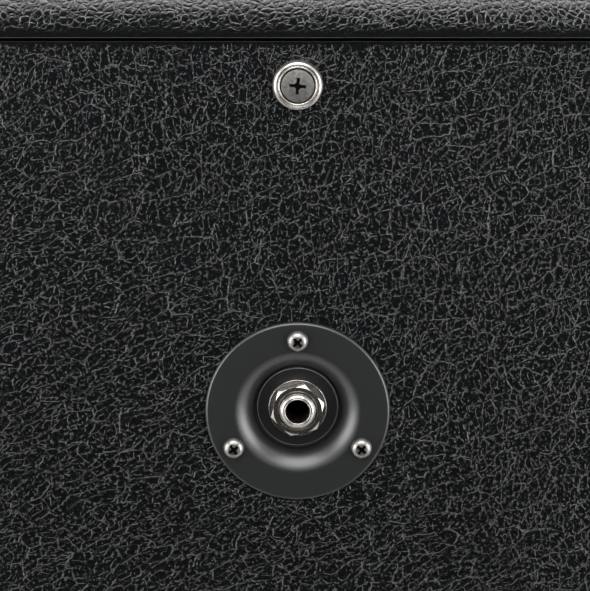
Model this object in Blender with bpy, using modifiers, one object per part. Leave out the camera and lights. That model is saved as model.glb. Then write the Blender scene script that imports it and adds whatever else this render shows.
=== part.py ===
"""Bass speaker cabinet: a plywood box covered in grained vinyl, with one 15 inch driver and two ports
behind a lift-off grille, and a single jack in a round dish on the rear panel.

Metres, +Z up. The grille faces -Y and the rear panel +Y; X runs to the right, seen from the front.
The origin is on the floor under the middle of the box.
"""

import math

import bmesh
import bpy
from mathutils import Matrix, Vector

# Clearances between pieces that touch, and round a pin or a screw in its hole.
GAP = 0.0003
HOLE_PLAY = 0.0003

# Box, measured over its covering.
WIDTH = 0.600
HEIGHT = 0.600
DEPTH = 0.400
BOARD = 0.018
COVERING = 0.0008
EDGE_RADIUS = 0.016
EDGE_STEPS = 3
LIP_RADIUS = 0.0012
LIP_STEPS = 2
BAFFLE = 0.018
GROOVE = 0.006
BATTEN = 0.025

# Rear panel, over its own covering.
PANEL = 0.015
PANEL_RECESS = 0.002
PANEL_GAP = 0.0006
PANEL_EDGE = 0.0015

# Rear panel screw with its cup washer, measured down from the seam above the panel.
PANEL_SCREW_DROP = 0.0128
PANEL_SCREW_RADIUS = 0.0021
PANEL_SCREW_HEAD = 0.00445
PANEL_SCREW_LENGTH = 0.032
PANEL_SCREW_RECESS = (0.0022, 0.00045, 0.0011)
PANEL_SCREW_POINT = 0.0112
CUP_RADIUS = 0.0064
CUP_HEIGHT = 0.0024
CUP_SLOPE = 0.0012
CUP_EDGE = 0.0004
HEAD_SINK = 0.0003

# Jack plate: a flat ring pressed into a bowl with a flat floor. The jack is below the panel screw.
JACK_DROP = 0.087
PLATE_RADIUS = 0.02425
PLATE_SHEET = 0.0010
PLATE_RIM_ROUND = 0.0004
MOUTH_RADIUS = 0.0183
SHOULDER_RADIUS = 0.0156
FLOOR_RADIUS = 0.0109
DISH_DEPTH = 0.0050
DISH_CURVE_STEPS = 5
DISH_STEPS = 32
DISH_HOLE_PLAY = 0.0010
PLATE_SCREW_CIRCLE = 0.0196
PLATE_SCREW_RADIUS = 0.0013
PLATE_SCREW_HEAD = 0.00275
PLATE_SCREW_CROWN = 0.0020
PLATE_SCREW_LENGTH = 0.012
PLATE_SCREW_RECESS = (0.0016, 0.0004, 0.0010)
PLATE_SCREW_POINT = 0.0042
SCREW_STEPS = 12
CROWN_STEPS = 3

# Quarter inch jack.
BUSH_RADIUS = 0.00476
BUSH_REACH = 0.0050
BUSH_ROUND = 0.0006
JACK_BORE = 0.0032
JACK_FRAME_RADIUS = 0.0100
JACK_FRAME_SHEET = 0.0012
JACK_POST = 0.0078
JACK_POST_WIDTH = 0.0070
JACK_POST_INSET = 0.0052
JACK_WASHER_RADIUS = 0.0079
JACK_WASHER = 0.0008
JACK_NUT_ACROSS = 0.0127
JACK_NUT = 0.0024
NUT_CHAMFER = 0.0009
NUT_TURN = math.radians(14)
TIP_SPRING = 0.0005
TIP_SPRING_WIDTH = 0.0050
TIP_SPRING_REACH = 0.0230
TIP_SPRING_CLAMP = 0.0055
TIP_CONTACT_RADIUS = 0.0026
TIP_CONTACT_BACK = 0.0166
TIP_CONTACT_LENGTH = 0.0046
TIP_CONTACT_RISE = 0.0008
TIP_LEAD_IN = 0.0026
JACK_STEPS = 24

# Driver, measured down from the inside of the top board and back from the front of the baffle.
DRIVER_DROP = 0.231
DRIVER_RADIUS = 0.194
CUTOUT_RADIUS = 0.178
CUTOUT_ROOM = 0.0012
RIM = 0.006
SEAT_RADIUS = 0.166
BASKET_WALL = 0.003
BASKET_DEPTH = 0.083
LEDGE_RADIUS = 0.086
LEDGE_WIDTH = 0.012
LEDGE_HEIGHT = 0.007
WINDOWS = 6
WINDOW_WIDTH = 0.085
WINDOW_FRAME_INNER = 0.009
WINDOW_FRAME_OUTER = 0.012
GASKET = 0.004
GASKET_WIDTH = 0.020
GASKET_INSET = 0.002
SURROUND = 0.0008
SURROUND_ROLL = 0.0040
SURROUND_DIP = 0.0020
SURROUND_INSET = 0.004
CONE_RADIUS = 0.160
CONE_LIP = 0.008
CONE_TOP = 0.005
CONE_DEPTH = 0.066
CONE_PAPER = 0.0012
CONE_CURVE = 1.15
CONE_RINGS = 4
DUST_CAP_RADIUS = 0.050
DUST_CAP_CROWN = 0.012
DUST_CAP_RINGS = 3
COIL_BORE = 0.0375
COIL_FORMER = 0.0008
COIL_WINDING = 0.0010
COIL_GAP = 0.0008
COIL_OVERHANG = 0.0012
SPIDER = 0.0008
SPIDER_WAVES = 3
SPIDER_WAVE = 0.0025
SPIDER_COLLAR = 0.010
TOP_PLATE = 0.008
TOP_PLATE_RADIUS = 0.075
MAGNET = 0.020
MAGNET_RADIUS = 0.090
MAGNET_BORE = 0.045
BACK_PLATE = 0.008
POLE_VENT = 0.012
DRIVER_STEPS = 24
TERMINAL_WIDTH = 0.030
TERMINAL_HEIGHT = 0.014
TERMINAL_DEPTH = 0.010
TERMINAL_CLEAR = 0.0012

# Ports, placed from the inside of the side and bottom boards.
PORT_INSET = 0.121
PORT_RISE = 0.081
PORT_BORE = 0.038
PORT_WALL = 0.003
PORT_FLARE = 0.006
PORT_FLARE_STEPS = 3
PORT_FLANGE_RADIUS = 0.046
PORT_FLANGE = 0.0022
PORT_LENGTH = 0.120
PORT_STEPS = 20

# Grille: cloth over a plywood ring, held by two strips of hook and loop.
GRILLE_RECESS = 0.002
GRILLE_PLAY = 0.0008
GRILLE_FRAME = 0.018
GRILLE_RING = 0.030
GRILLE_EDGE = 0.003
STRIP = 0.0022
STRIP_WIDTH = 0.020
STRIP_LENGTH = 0.400

# Side handles: a pressed dish with a bail that lies in it and swings out.
HANDLE_DROP = 0.280
HANDLE_SHEET = 0.0015
POCKET_WIDTH = 0.150
POCKET_HEIGHT = 0.096
POCKET_DEPTH = 0.016
POCKET_CORNER = 0.010
POCKET_EDGE = 0.002
HANDLE_FLANGE = 0.015
HANDLE_CUTOUT_PLAY = 0.006
PIN_REACH = 0.003
HANDLE_CORNER_STEPS = 3
BAIL_ROD = 0.0045
BAIL_LEG = 0.062
BAIL_BEND = 0.012
BAIL_PIN_STEPS = 2
BAIL_BEND_STEPS = 3
BAIL_SIDE_PLAY = 0.003
BAIL_DROP = 0.0085
BAIL_SINK = 0.0082
GRIP_RADIUS = 0.0075
GRIP_LENGTH = 0.086
GRIP_END = 0.0015

# Corner protectors and feet.
CORNER_SHEET = 0.0018
CORNER_REACH = 0.052
CORNER_MARGIN = 0.002
FOOT_HEIGHT = 0.020
FOOT_RADIUS = 0.019
FOOT_TAPER = 0.003
FOOT_ROUND = 0.002
FOOT_WELL_RADIUS = 0.0065
FOOT_WELL = 0.010
FOOT_INSET = 0.065

# Brace, damping pad and speaker lead.
BRACE_RISE = 0.021
BRACE_Y = 0.041
BRACE_DEPTH = 0.042
PAD_WIDTH = 0.400
PAD_BOTTOM = 0.080
PAD_HEIGHT = 0.280
PAD = 0.030
PAD_ROUND = 0.0075
LEAD_RADIUS = 0.0025
LEAD_STEPS = 4

# Planes and limits that several pieces share.
SKIN = COVERING + GAP
LINING = BOARD + 2 * SKIN
BOX_BOTTOM = FOOT_HEIGHT
BOX_TOP = BOX_BOTTOM + HEIGHT
BOX_MIDDLE = (BOX_BOTTOM + BOX_TOP) / 2
INNER_X = WIDTH / 2 - SKIN - BOARD
INNER_BOTTOM = BOX_BOTTOM + SKIN + BOARD
INNER_TOP = BOX_TOP - SKIN - BOARD
MOUTH_X = WIDTH / 2 - LINING
MOUTH_Z = HEIGHT / 2 - LINING
GRILLE_FACE = GRILLE_RECESS - DEPTH / 2
FRAME_BACK = GRILLE_FACE + SKIN + GRILLE_FRAME
BAFFLE_FRONT = FRAME_BACK + STRIP + 2 * GAP
BAFFLE_BACK = BAFFLE_FRONT + BAFFLE
PANEL_FACE = DEPTH / 2 - PANEL_RECESS
PANEL_FRONT = PANEL_FACE - SKIN - PANEL
BATTEN_FRONT = PANEL_FRONT - GAP - BATTEN
PANEL_SCREW_Z = BOX_MIDDLE + MOUTH_Z - PANEL_SCREW_DROP
JACK_Z = PANEL_SCREW_Z - JACK_DROP
DISH_HOLE = MOUTH_RADIUS - DISH_HOLE_PLAY
FLANGE_TOP = GAP + PLATE_SHEET
DISH_FLOOR = FLANGE_TOP - DISH_DEPTH
FRAME_DISC_TOP = DISH_FLOOR - PLATE_SHEET - GAP
FRAME_DISC_BACK = FRAME_DISC_TOP - JACK_FRAME_SHEET
RIM_TOP = GAP + RIM
COIL_OUTER = COIL_BORE + COIL_FORMER
NECK_RADIUS = COIL_OUTER + GAP
CONE_LIP_RADIUS = CONE_RADIUS - CONE_LIP
MAGNET_TOP = -BASKET_DEPTH - GAP - TOP_PLATE - GAP
BACK_PLATE_TOP = MAGNET_TOP - MAGNET - GAP
DRIVER_Z = INNER_TOP - DRIVER_DROP
PORT_Z = INNER_BOTTOM + PORT_RISE
PORT_X = INNER_X - PORT_INSET
HANDLE_Z = BOX_TOP - HANDLE_DROP
BRACE_Z = DRIVER_Z + BRACE_RISE
BRACE_TOP = BRACE_Z + BOARD / 2
HANDLE_TOP = GAP + HANDLE_SHEET

# A turned piece is drawn along local Z; these turn that axis to the rear (+Y) or the front (-Y).
REARWARD = (-math.pi / 2, 0.0, 0.0)
FORWARD = (math.pi / 2, 0.0, 0.0)

# Finishes: name, colour (linear RGB), roughness, metallic.
FINISHES = {
    "grained_black_vinyl": ((0.012, 0.012, 0.013), 0.35, 0.0),
    "birch_plywood": ((0.52, 0.36, 0.20), 0.65, 0.0),
    "black_painted_plywood": ((0.014, 0.014, 0.014), 0.70, 0.0),
    "black_painted_steel": ((0.022, 0.022, 0.023), 0.42, 0.0),
    "bright_nickel": ((0.62, 0.60, 0.57), 0.18, 1.0),
    "zinc_plated_steel": ((0.50, 0.50, 0.49), 0.30, 1.0),
    "phosphor_bronze": ((0.55, 0.38, 0.20), 0.30, 1.0),
    "black_rubber": ((0.015, 0.015, 0.015), 0.80, 0.0),
    "black_plastic": ((0.017, 0.017, 0.018), 0.45, 0.0),
    "paper_pulp": ((0.020, 0.019, 0.018), 0.85, 0.0),
    "treated_cloth": ((0.016, 0.015, 0.014), 0.75, 0.0),
    "copper_winding": ((0.60, 0.24, 0.10), 0.35, 1.0),
    "ferrite": ((0.045, 0.045, 0.048), 0.70, 0.0),
    "grille_weave": ((0.020, 0.020, 0.020), 0.85, 0.0),
    "hook_and_loop": ((0.012, 0.012, 0.012), 0.95, 0.0),
    "polyester_wadding": ((0.70, 0.69, 0.66), 0.95, 0.0),
    "lead_jacket": ((0.020, 0.020, 0.020), 0.50, 0.0),
}


def new_collection(name):
    made = bpy.data.collections.new(name)
    bpy.context.scene.collection.children.link(made)
    return made


def new_material(name, colour, roughness, metallic):
    material = bpy.data.materials.new(name)
    material.use_nodes = True
    shader = material.node_tree.nodes["Principled BSDF"]
    shader.inputs["Base Color"].default_value = (*colour, 1.0)
    shader.inputs["Roughness"].default_value = roughness
    shader.inputs["Metallic"].default_value = metallic
    return material


def clear_scene():
    for obj in list(bpy.data.objects):
        bpy.data.objects.remove(obj, do_unlink=True)


clear_scene()
PARTS = new_collection("bass_speaker_cabinet")
CUTTERS = new_collection("cutters")
MATERIALS = {name: new_material(name, *values) for name, values in FINISHES.items()}


def add_part(name, data, finish, location=(0, 0, 0), rotation=(0, 0, 0), parent=None):
    """One sub-part of the cabinet, with its finish."""
    obj = bpy.data.objects.new(name, data)
    obj.location = location
    obj.rotation_euler = rotation
    obj.parent = parent
    PARTS.objects.link(obj)
    obj.data.materials.clear()
    obj.data.materials.append(MATERIALS[finish])
    return obj


def add_cutter(name, mesh, location=(0, 0, 0), rotation=(0, 0, 0)):
    """A shape that only cuts others."""
    obj = bpy.data.objects.new(name, mesh)
    obj.location = location
    obj.rotation_euler = rotation
    obj.hide_render = True
    obj.display_type = "WIRE"
    CUTTERS.objects.link(obj)
    return obj


def apply_boolean(obj, other, operation):
    boolean = obj.modifiers.new(f"{operation.lower()}_{other.name}", "BOOLEAN")
    boolean.operation = operation
    boolean.object = other


def cut(objects, cutter):
    for obj in objects:
        apply_boolean(obj, cutter, "DIFFERENCE")


def join(obj, addition):
    apply_boolean(obj, addition, "UNION")


def mesh_of(name, bm):
    bmesh.ops.recalc_face_normals(bm, faces=bm.faces)
    mesh = bpy.data.meshes.new(name)
    bm.to_mesh(mesh)
    bm.free()
    return mesh


def cube(size):
    bm = bmesh.new()
    bmesh.ops.create_cube(bm, size=1.0)
    bmesh.ops.scale(bm, vec=size, verts=bm.verts)
    bm.normal_update()
    return bm


def edges_between(bm, sides):
    """The edges whose two faces both look towards one of the given sides."""
    found = []
    for edge in bm.edges:
        normals = [face.normal for face in edge.link_faces]
        if all(any(n.dot(Vector(side)) > 0.99 for side in sides) for n in normals):
            found.append(edge)
    return found


def round_edges(bm, edges, radius, steps):
    bmesh.ops.bevel(
        bm,
        geom=edges,
        offset=radius,
        offset_type="OFFSET",
        segments=steps,
        profile=0.5,
        affect="EDGES",
    )


def block_mesh(name, low, high, rounded=(), radius=0.0, steps=2):
    """A box about its own middle; edges between two of the rounded sides get the radius."""
    bm = cube([top - bottom for bottom, top in zip(low, high)])
    if rounded:
        round_edges(bm, edges_between(bm, rounded), radius, steps)
    return mesh_of(name, bm)


def middle(low, high):
    return [(bottom + top) / 2 for bottom, top in zip(low, high)]


def add_block(name, low, high, finish, rounded=(), radius=0.0, steps=2):
    mesh = block_mesh(name, low, high, rounded, radius, steps)
    return add_part(name, mesh, finish, middle(low, high))


def add_block_cutter(name, low, high, rounded=(), radius=0.0, steps=2):
    return add_cutter(name, block_mesh(name, low, high, rounded, radius, steps), middle(low, high))


def rod_mesh(name, radius, length, segments):
    bm = bmesh.new()
    bmesh.ops.create_cone(
        bm, cap_ends=True, segments=segments, radius1=radius, radius2=radius, depth=length
    )
    return mesh_of(name, bm)


def add_rod_cutter(name, radius, length, centre, rotation, segments=16):
    return add_cutter(name, rod_mesh(name, radius, length, segments), centre, rotation)


def add_panel_hole(name, radius, depth, x, z, segments=16):
    """A round cutter into the rear panel, turned half a step so that no corner lies on the middle."""
    cutter = add_rod_cutter(name, radius, 2 * depth, (x, PANEL_FACE, z), REARWARD, segments)
    cutter.rotation_euler.rotate_axis("Z", math.pi / segments)
    return cutter


def solidify(obj, thickness, outward=False):
    """Gives an open surface its thickness, behind the side that shows."""
    modifier = obj.modifiers.new("thickness", "SOLIDIFY")
    modifier.thickness = thickness
    modifier.offset = 1.0 if outward else -1.0
    modifier.use_even_offset = True


def profile_mesh(name, profile, closed):
    """A chain of (radius, height) points in the XZ plane, for a Screw modifier to turn."""
    bm = bmesh.new()
    points = [bm.verts.new((radius, 0.0, height)) for radius, height in profile]
    for first, second in zip(points, points[1:]):
        bm.edges.new((first, second))
    if closed:
        bm.edges.new((points[-1], points[0]))
    mesh = bpy.data.meshes.new(name)
    bm.to_mesh(mesh)
    bm.free()
    return mesh


def turn(obj, steps):
    modifier = obj.modifiers.new("turned", "SCREW")
    modifier.steps = steps
    modifier.render_steps = steps
    modifier.use_merge_vertices = True
    modifier.merge_threshold = 0.00001
    modifier.use_smooth_shade = True


def add_turned(name, profile, finish, location, rotation, steps, parent=None):
    """A turned piece. A profile that starts on the axis is open there; any other closes on itself."""
    closed = profile[0][0] > 0
    mesh = profile_mesh(name, profile, closed)
    obj = add_part(name, mesh, finish, location, rotation, parent)
    turn(obj, steps)
    return obj


def quarter_round(radius, edge, height, steps):
    """Points of a rounded outer edge, from the flat top down to the side."""
    angles = [math.pi / 2 * (1 - step / steps) for step in range(steps + 1)]
    return [
        (radius - edge + edge * math.cos(angle), height - edge + edge * math.sin(angle))
        for angle in angles
    ]


def bake(obj):
    """The mesh that the object's modifiers make, with the object and its cutters taken away."""
    cutters = [m.object for m in obj.modifiers if m.type == "BOOLEAN"]
    bpy.context.view_layer.update()
    graph = bpy.context.evaluated_depsgraph_get()
    mesh = bpy.data.meshes.new_from_object(obj.evaluated_get(graph))
    for used in (obj, *cutters):
        bpy.data.objects.remove(used, do_unlink=True)
    return mesh


def tube_curve(name, points, radius):
    curve = bpy.data.curves.new(name, "CURVE")
    curve.dimensions = "3D"
    curve.bevel_depth = radius
    curve.bevel_resolution = 2
    curve.use_fill_caps = True
    spline = curve.splines.new("POLY")
    spline.points.add(len(points) - 1)
    for target, point in zip(spline.points, points):
        target.co = (*point, 1.0)
    return curve


def fillet(before, corner, after, radius, steps):
    """Points of an arc of the given radius that rounds a square corner between two straight runs."""
    into = (Vector(before) - Vector(corner)).normalized()
    away = (Vector(after) - Vector(corner)).normalized()
    centre = Vector(corner) + radius * (into + away)
    points = []
    for step in range(steps + 1):
        angle = math.pi / 2 * step / steps
        points.append(centre - radius * (math.cos(angle) * away + math.sin(angle) * into))
    return points


def smooth_route(points, steps):
    """Points read from a smooth curve that passes through every route point."""
    ends = [2 * points[0] - points[1], *points, 2 * points[-1] - points[-2]]
    route = []
    for before, start, end, after in zip(ends, ends[1:], ends[2:], ends[3:]):
        for step in range(steps):
            t = step / steps
            bend = (2 * before - 5 * start + 4 * end - after) * t**2
            twist = (3 * start - before - 3 * end + after) * t**3
            route.append((2 * start + (end - before) * t + bend + twist) / 2)
    return [*route, points[-1]]


SIDES = {
    "left": Vector((-1, 0, 0)),
    "right": Vector((1, 0, 0)),
    "front": Vector((0, -1, 0)),
    "rear": Vector((0, 1, 0)),
    "bottom": Vector((0, 0, -1)),
    "top": Vector((0, 0, 1)),
}


def sides(*names):
    return [SIDES[name] for name in names]


# Boards

BOARD_RADIUS = EDGE_RADIUS - SKIN
BOARD_Y = DEPTH / 2 - SKIN
BOARD_X = WIDTH / 2 - SKIN

top_board = add_block(
    "top_board",
    (-BOARD_X, -BOARD_Y, INNER_TOP),
    (BOARD_X, BOARD_Y, BOX_TOP - SKIN),
    "birch_plywood",
    sides("left", "right", "front", "rear", "top"),
    BOARD_RADIUS,
    EDGE_STEPS,
)
bottom_board = add_block(
    "bottom_board",
    (-BOARD_X, -BOARD_Y, BOX_BOTTOM + SKIN),
    (BOARD_X, BOARD_Y, INNER_BOTTOM),
    "birch_plywood",
    sides("left", "right", "front", "rear", "bottom"),
    BOARD_RADIUS,
    EDGE_STEPS,
)
left_board = add_block(
    "left_board",
    (-BOARD_X, -BOARD_Y, INNER_BOTTOM + GAP),
    (-INNER_X, BOARD_Y, INNER_TOP - GAP),
    "birch_plywood",
    sides("left", "front", "rear"),
    BOARD_RADIUS,
    EDGE_STEPS,
)
right_board = add_block(
    "right_board",
    (INNER_X, -BOARD_Y, INNER_BOTTOM + GAP),
    (BOARD_X, BOARD_Y, INNER_TOP - GAP),
    "birch_plywood",
    sides("right", "front", "rear"),
    BOARD_RADIUS,
    EDGE_STEPS,
)


# Shell covering: one skin over the boards, turned in at the two mouths


def covering_mesh():
    bm = cube((WIDTH, DEPTH, HEIGHT))
    round_edges(bm, list(bm.edges), EDGE_RADIUS, EDGE_STEPS)
    front_return = BAFFLE_FRONT + DEPTH / 2 - COVERING
    rear_return = DEPTH / 2 - PANEL_FRONT - COVERING
    for side, turned_in in ((SIDES["front"], front_return), (SIDES["rear"], rear_return)):
        bm.normal_update()
        mouth = max(bm.faces, key=lambda face: face.calc_center_median().dot(side))
        width = LINING - EDGE_RADIUS
        bmesh.ops.inset_region(bm, faces=[mouth], thickness=width, use_even_offset=True)
        grown = bmesh.ops.extrude_edge_only(bm, edges=list(mouth.edges))["geom"]
        moved = [item for item in grown if isinstance(item, bmesh.types.BMVert)]
        bmesh.ops.translate(bm, vec=-turned_in * side, verts=moved)
        bmesh.ops.delete(bm, geom=[mouth], context="FACES_ONLY")
        bmesh.ops.recalc_face_normals(bm, faces=bm.faces)
        bm.normal_update()
        lip = [
            edge
            for edge in bm.edges
            if len(edge.link_faces) == 2
            and edge.calc_face_angle(0) > math.radians(80)
            and all(abs(vert.co.dot(side) - DEPTH / 2) < GAP / 2 for vert in edge.verts)
        ]
        round_edges(bm, lip, LIP_RADIUS, LIP_STEPS)
    mesh = bpy.data.meshes.new("shell_covering")
    bm.to_mesh(mesh)
    bm.free()
    return mesh


shell_covering = add_part(
    "shell_covering", covering_mesh(), "grained_black_vinyl", (0, 0, BOX_MIDDLE)
)
solidify(shell_covering, COVERING)


# Baffle in its grooves

baffle_reach = GROOVE - GAP
baffle_board = add_block(
    "baffle_board",
    (-INNER_X - baffle_reach, BAFFLE_FRONT, INNER_BOTTOM - baffle_reach),
    (INNER_X + baffle_reach, BAFFLE_BACK, INNER_TOP + baffle_reach),
    "black_painted_plywood",
)
groove = add_block_cutter(
    "baffle_groove",
    (-INNER_X - GROOVE, BAFFLE_FRONT - GAP, INNER_BOTTOM - GROOVE),
    (INNER_X + GROOVE, BAFFLE_BACK + GAP, INNER_TOP + GROOVE),
)
cut([top_board, bottom_board, left_board, right_board], groove)


# Rear panel and its covering


def open_block_mesh(name, size, open_side, rounded, radius, steps):
    """The surface of a box with one side missing and some edges rounded, to wrap round a board."""
    bm = cube(size)
    round_edges(bm, edges_between(bm, rounded), radius, steps)
    bm.normal_update()
    missing = max(bm.faces, key=lambda face: face.calc_center_median().dot(open_side))
    bmesh.ops.delete(bm, geom=[missing], context="FACES_ONLY")
    mesh = bpy.data.meshes.new(name)
    bm.to_mesh(mesh)
    bm.free()
    return mesh


PANEL_X = MOUTH_X - PANEL_GAP
PANEL_Z = MOUTH_Z - PANEL_GAP
ALL_BUT_FRONT = sides("left", "right", "rear", "bottom", "top")
ALL_BUT_REAR = sides("left", "right", "front", "bottom", "top")

rear_panel_covering = add_part(
    "rear_panel_covering",
    open_block_mesh(
        "rear_panel_covering",
        (2 * PANEL_X, PANEL_FACE - PANEL_FRONT, 2 * PANEL_Z),
        SIDES["front"],
        ALL_BUT_FRONT,
        PANEL_EDGE,
        LIP_STEPS,
    ),
    "grained_black_vinyl",
    (0, (PANEL_FACE + PANEL_FRONT) / 2, BOX_MIDDLE),
)
solidify(rear_panel_covering, COVERING)
rear_panel = add_block(
    "rear_panel",
    (SKIN - PANEL_X, PANEL_FRONT, BOX_MIDDLE + SKIN - PANEL_Z),
    (PANEL_X - SKIN, PANEL_FACE - SKIN, BOX_MIDDLE + PANEL_Z - SKIN),
    "birch_plywood",
    ALL_BUT_FRONT,
    PANEL_EDGE - SKIN,
    LIP_STEPS,
)


# Rear battens, which the panel's screws bite into

batten_x = INNER_X - GAP
batten_y = (BATTEN_FRONT, BATTEN_FRONT + BATTEN)
rear_batten_top = add_block(
    "rear_batten_top",
    (-batten_x, batten_y[0], INNER_TOP - GAP - BATTEN),
    (batten_x, batten_y[1], INNER_TOP - GAP),
    "birch_plywood",
)
rear_batten_bottom = add_block(
    "rear_batten_bottom",
    (-batten_x, batten_y[0], INNER_BOTTOM + GAP),
    (batten_x, batten_y[1], INNER_BOTTOM + GAP + BATTEN),
    "birch_plywood",
)
for name, side in (("left", -1), ("right", 1)):
    edges = sorted((side * (batten_x - BATTEN), side * batten_x))
    add_block(
        f"rear_batten_{name}",
        (edges[0], batten_y[0], INNER_BOTTOM + 2 * GAP + BATTEN),
        (edges[1], batten_y[1], INNER_TOP - 2 * GAP - BATTEN),
        "birch_plywood",
    )


# Screws with a cross recess


def screw_mesh(name, profile, recess):
    """A turned screw with a cross recess: how far its arms reach, half their width, and their depth."""
    recess_reach, recess_width, recess_depth = recess
    screw = add_turned(name, profile, "bright_nickel", (0, 0, 0), (0, 0, 0), SCREW_STEPS)
    crown = max(height for _, height in profile)
    for turned, size in enumerate(((recess_reach, recess_width), (recess_width, recess_reach))):
        arm = add_block_cutter(
            f"{name}_recess_{turned}",
            (-size[0], -size[1], crown - recess_depth),
            (size[0], size[1], crown + recess_depth),
        )
        cut([screw], arm)
    mesh = bake(screw)
    mesh.name = name
    return mesh


def shank(radius, top, length, point):
    """The plain shank and point of a screw, from under its head."""
    return [(radius, top), (radius, point - length), (0.0, -length)]


# Rear panel's top screw and its cup washer

HEAD_RIM = CUP_HEIGHT - HEAD_SINK
cup_mouth = PANEL_SCREW_HEAD + HOLE_PLAY
cup_washer_top = add_turned(
    "cup_washer_top",
    [
        (cup_mouth, HEAD_RIM),
        (cup_mouth, CUP_HEIGHT - CUP_EDGE / 2),
        (cup_mouth + CUP_EDGE / 2, CUP_HEIGHT),
        (CUP_RADIUS - CUP_SLOPE, CUP_HEIGHT - CUP_EDGE / 2),
        (CUP_RADIUS - CUP_EDGE / 2, CUP_HEIGHT / 2),
        (CUP_RADIUS, CUP_EDGE + GAP),
        (CUP_RADIUS, GAP),
        (PANEL_SCREW_RADIUS + HOLE_PLAY, GAP),
    ],
    "bright_nickel",
    (0, PANEL_FACE, PANEL_SCREW_Z),
    REARWARD,
    steps=24,
)
panel_screw_profile = [
    (0.0, HEAD_RIM),
    (PANEL_SCREW_HEAD, HEAD_RIM),
    *shank(PANEL_SCREW_RADIUS, GAP, PANEL_SCREW_LENGTH, PANEL_SCREW_POINT),
]
rear_screw_top = add_part(
    "rear_screw_top",
    screw_mesh("rear_screw_top", panel_screw_profile, PANEL_SCREW_RECESS),
    "zinc_plated_steel",
    (0, PANEL_FACE, PANEL_SCREW_Z),
    REARWARD,
)
screw_hole = add_panel_hole(
    "rear_screw_hole",
    PANEL_SCREW_RADIUS + HOLE_PLAY,
    PANEL_SCREW_LENGTH + GAP,
    0,
    PANEL_SCREW_Z,
)
cut([rear_panel_covering, rear_panel, rear_batten_top], screw_hole)


# Jack plate: the dish


def dish_curve(step):
    """Point and inward slope of the bowl, on a curve that leaves the flange level and steepens."""
    t = step / DISH_CURVE_STEPS
    radius = (1 - t) ** 2 * MOUTH_RADIUS + 2 * t * (1 - t) * SHOULDER_RADIUS + t**2 * FLOOR_RADIUS
    fall = t**2 * DISH_DEPTH
    run = 2 * (1 - t) * (MOUTH_RADIUS - SHOULDER_RADIUS) + 2 * t * (SHOULDER_RADIUS - FLOOR_RADIUS)
    return radius, fall, math.atan2(2 * t * DISH_DEPTH, run)


def plate_profile():
    bore = BUSH_RADIUS + HOLE_PLAY
    bowl = [dish_curve(step) for step in range(DISH_CURVE_STEPS + 1)]
    top = [(bore, DISH_FLOOR)]
    top += [(radius, FLANGE_TOP - fall) for radius, fall, _ in reversed(bowl)]
    top += quarter_round(PLATE_RADIUS, PLATE_RIM_ROUND, FLANGE_TOP, 2)
    back = [(PLATE_RADIUS, GAP)]
    back += [
        (
            radius + PLATE_SHEET * math.sin(slope),
            FLANGE_TOP - fall - PLATE_SHEET * math.cos(slope),
        )
        for radius, fall, slope in bowl
    ]
    back += [(FLOOR_RADIUS, DISH_FLOOR - PLATE_SHEET), (bore, DISH_FLOOR - PLATE_SHEET)]
    return top + back


jack_plate = add_turned(
    "jack_plate",
    plate_profile(),
    "black_painted_steel",
    (0, PANEL_FACE, JACK_Z),
    REARWARD,
    DISH_STEPS,
)
dish_hole = add_panel_hole("dish_hole", DISH_HOLE, 2 * PANEL, 0, JACK_Z, DISH_STEPS)
cut([rear_panel_covering, rear_panel], dish_hole)


# Jack plate's three screws

crown_angles = [math.pi / 2 * (1 - step / CROWN_STEPS) for step in range(CROWN_STEPS + 1)]
plate_screw_profile = [
    *(
        (PLATE_SCREW_HEAD * math.cos(angle), PLATE_SCREW_CROWN * math.sin(angle))
        for angle in crown_angles
    ),
    *shank(PLATE_SCREW_RADIUS, 0.0, PLATE_SCREW_LENGTH, PLATE_SCREW_POINT),
]
plate_screw = screw_mesh("plate_screw", plate_screw_profile, PLATE_SCREW_RECESS)
for name, turned in (("top", 90), ("left", 330), ("right", 210)):
    angle = math.radians(turned)
    x = PLATE_SCREW_CIRCLE * math.cos(angle)
    z = JACK_Z + PLATE_SCREW_CIRCLE * math.sin(angle)
    add_part(
        f"jack_plate_screw_{name}",
        plate_screw.copy(),
        "bright_nickel",
        (x, PANEL_FACE + FLANGE_TOP + GAP, z),
        REARWARD,
    )
    hole = add_panel_hole(
        f"plate_screw_hole_{name}",
        PLATE_SCREW_RADIUS + HOLE_PLAY,
        PLATE_SCREW_LENGTH,
        x,
        z,
        SCREW_STEPS,
    )
    cut([jack_plate, rear_panel_covering, rear_panel], hole)


# Jack: bushing and frame, washer, nut and tip spring

washer_bottom = DISH_FLOOR + GAP
nut_bottom = washer_bottom + JACK_WASHER + GAP
bush_top = DISH_FLOOR + BUSH_REACH

jack_frame = add_turned(
    "jack_frame",
    [
        (JACK_BORE, bush_top - BUSH_ROUND),
        (JACK_BORE + BUSH_ROUND, bush_top),
        (BUSH_RADIUS - BUSH_ROUND, bush_top),
        (BUSH_RADIUS, bush_top - BUSH_ROUND),
        (BUSH_RADIUS, FRAME_DISC_TOP),
        (JACK_FRAME_RADIUS, FRAME_DISC_TOP),
        (JACK_FRAME_RADIUS, FRAME_DISC_BACK),
        (JACK_BORE, FRAME_DISC_BACK),
    ],
    "bright_nickel",
    (0, PANEL_FACE, JACK_Z),
    REARWARD,
    JACK_STEPS,
)
for name, side in (("tip", 1), ("sleeve", -1)):
    reach = sorted((side * JACK_POST_INSET, side * (JACK_FRAME_RADIUS - GAP)))
    post = add_block_cutter(
        f"jack_post_{name}",
        (reach[0], PANEL_FACE + FRAME_DISC_BACK - JACK_POST, JACK_Z - JACK_POST_WIDTH / 2),
        (reach[1], PANEL_FACE + FRAME_DISC_BACK + JACK_FRAME_SHEET / 2, JACK_Z + JACK_POST_WIDTH / 2),
    )
    join(jack_frame, post)

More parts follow.
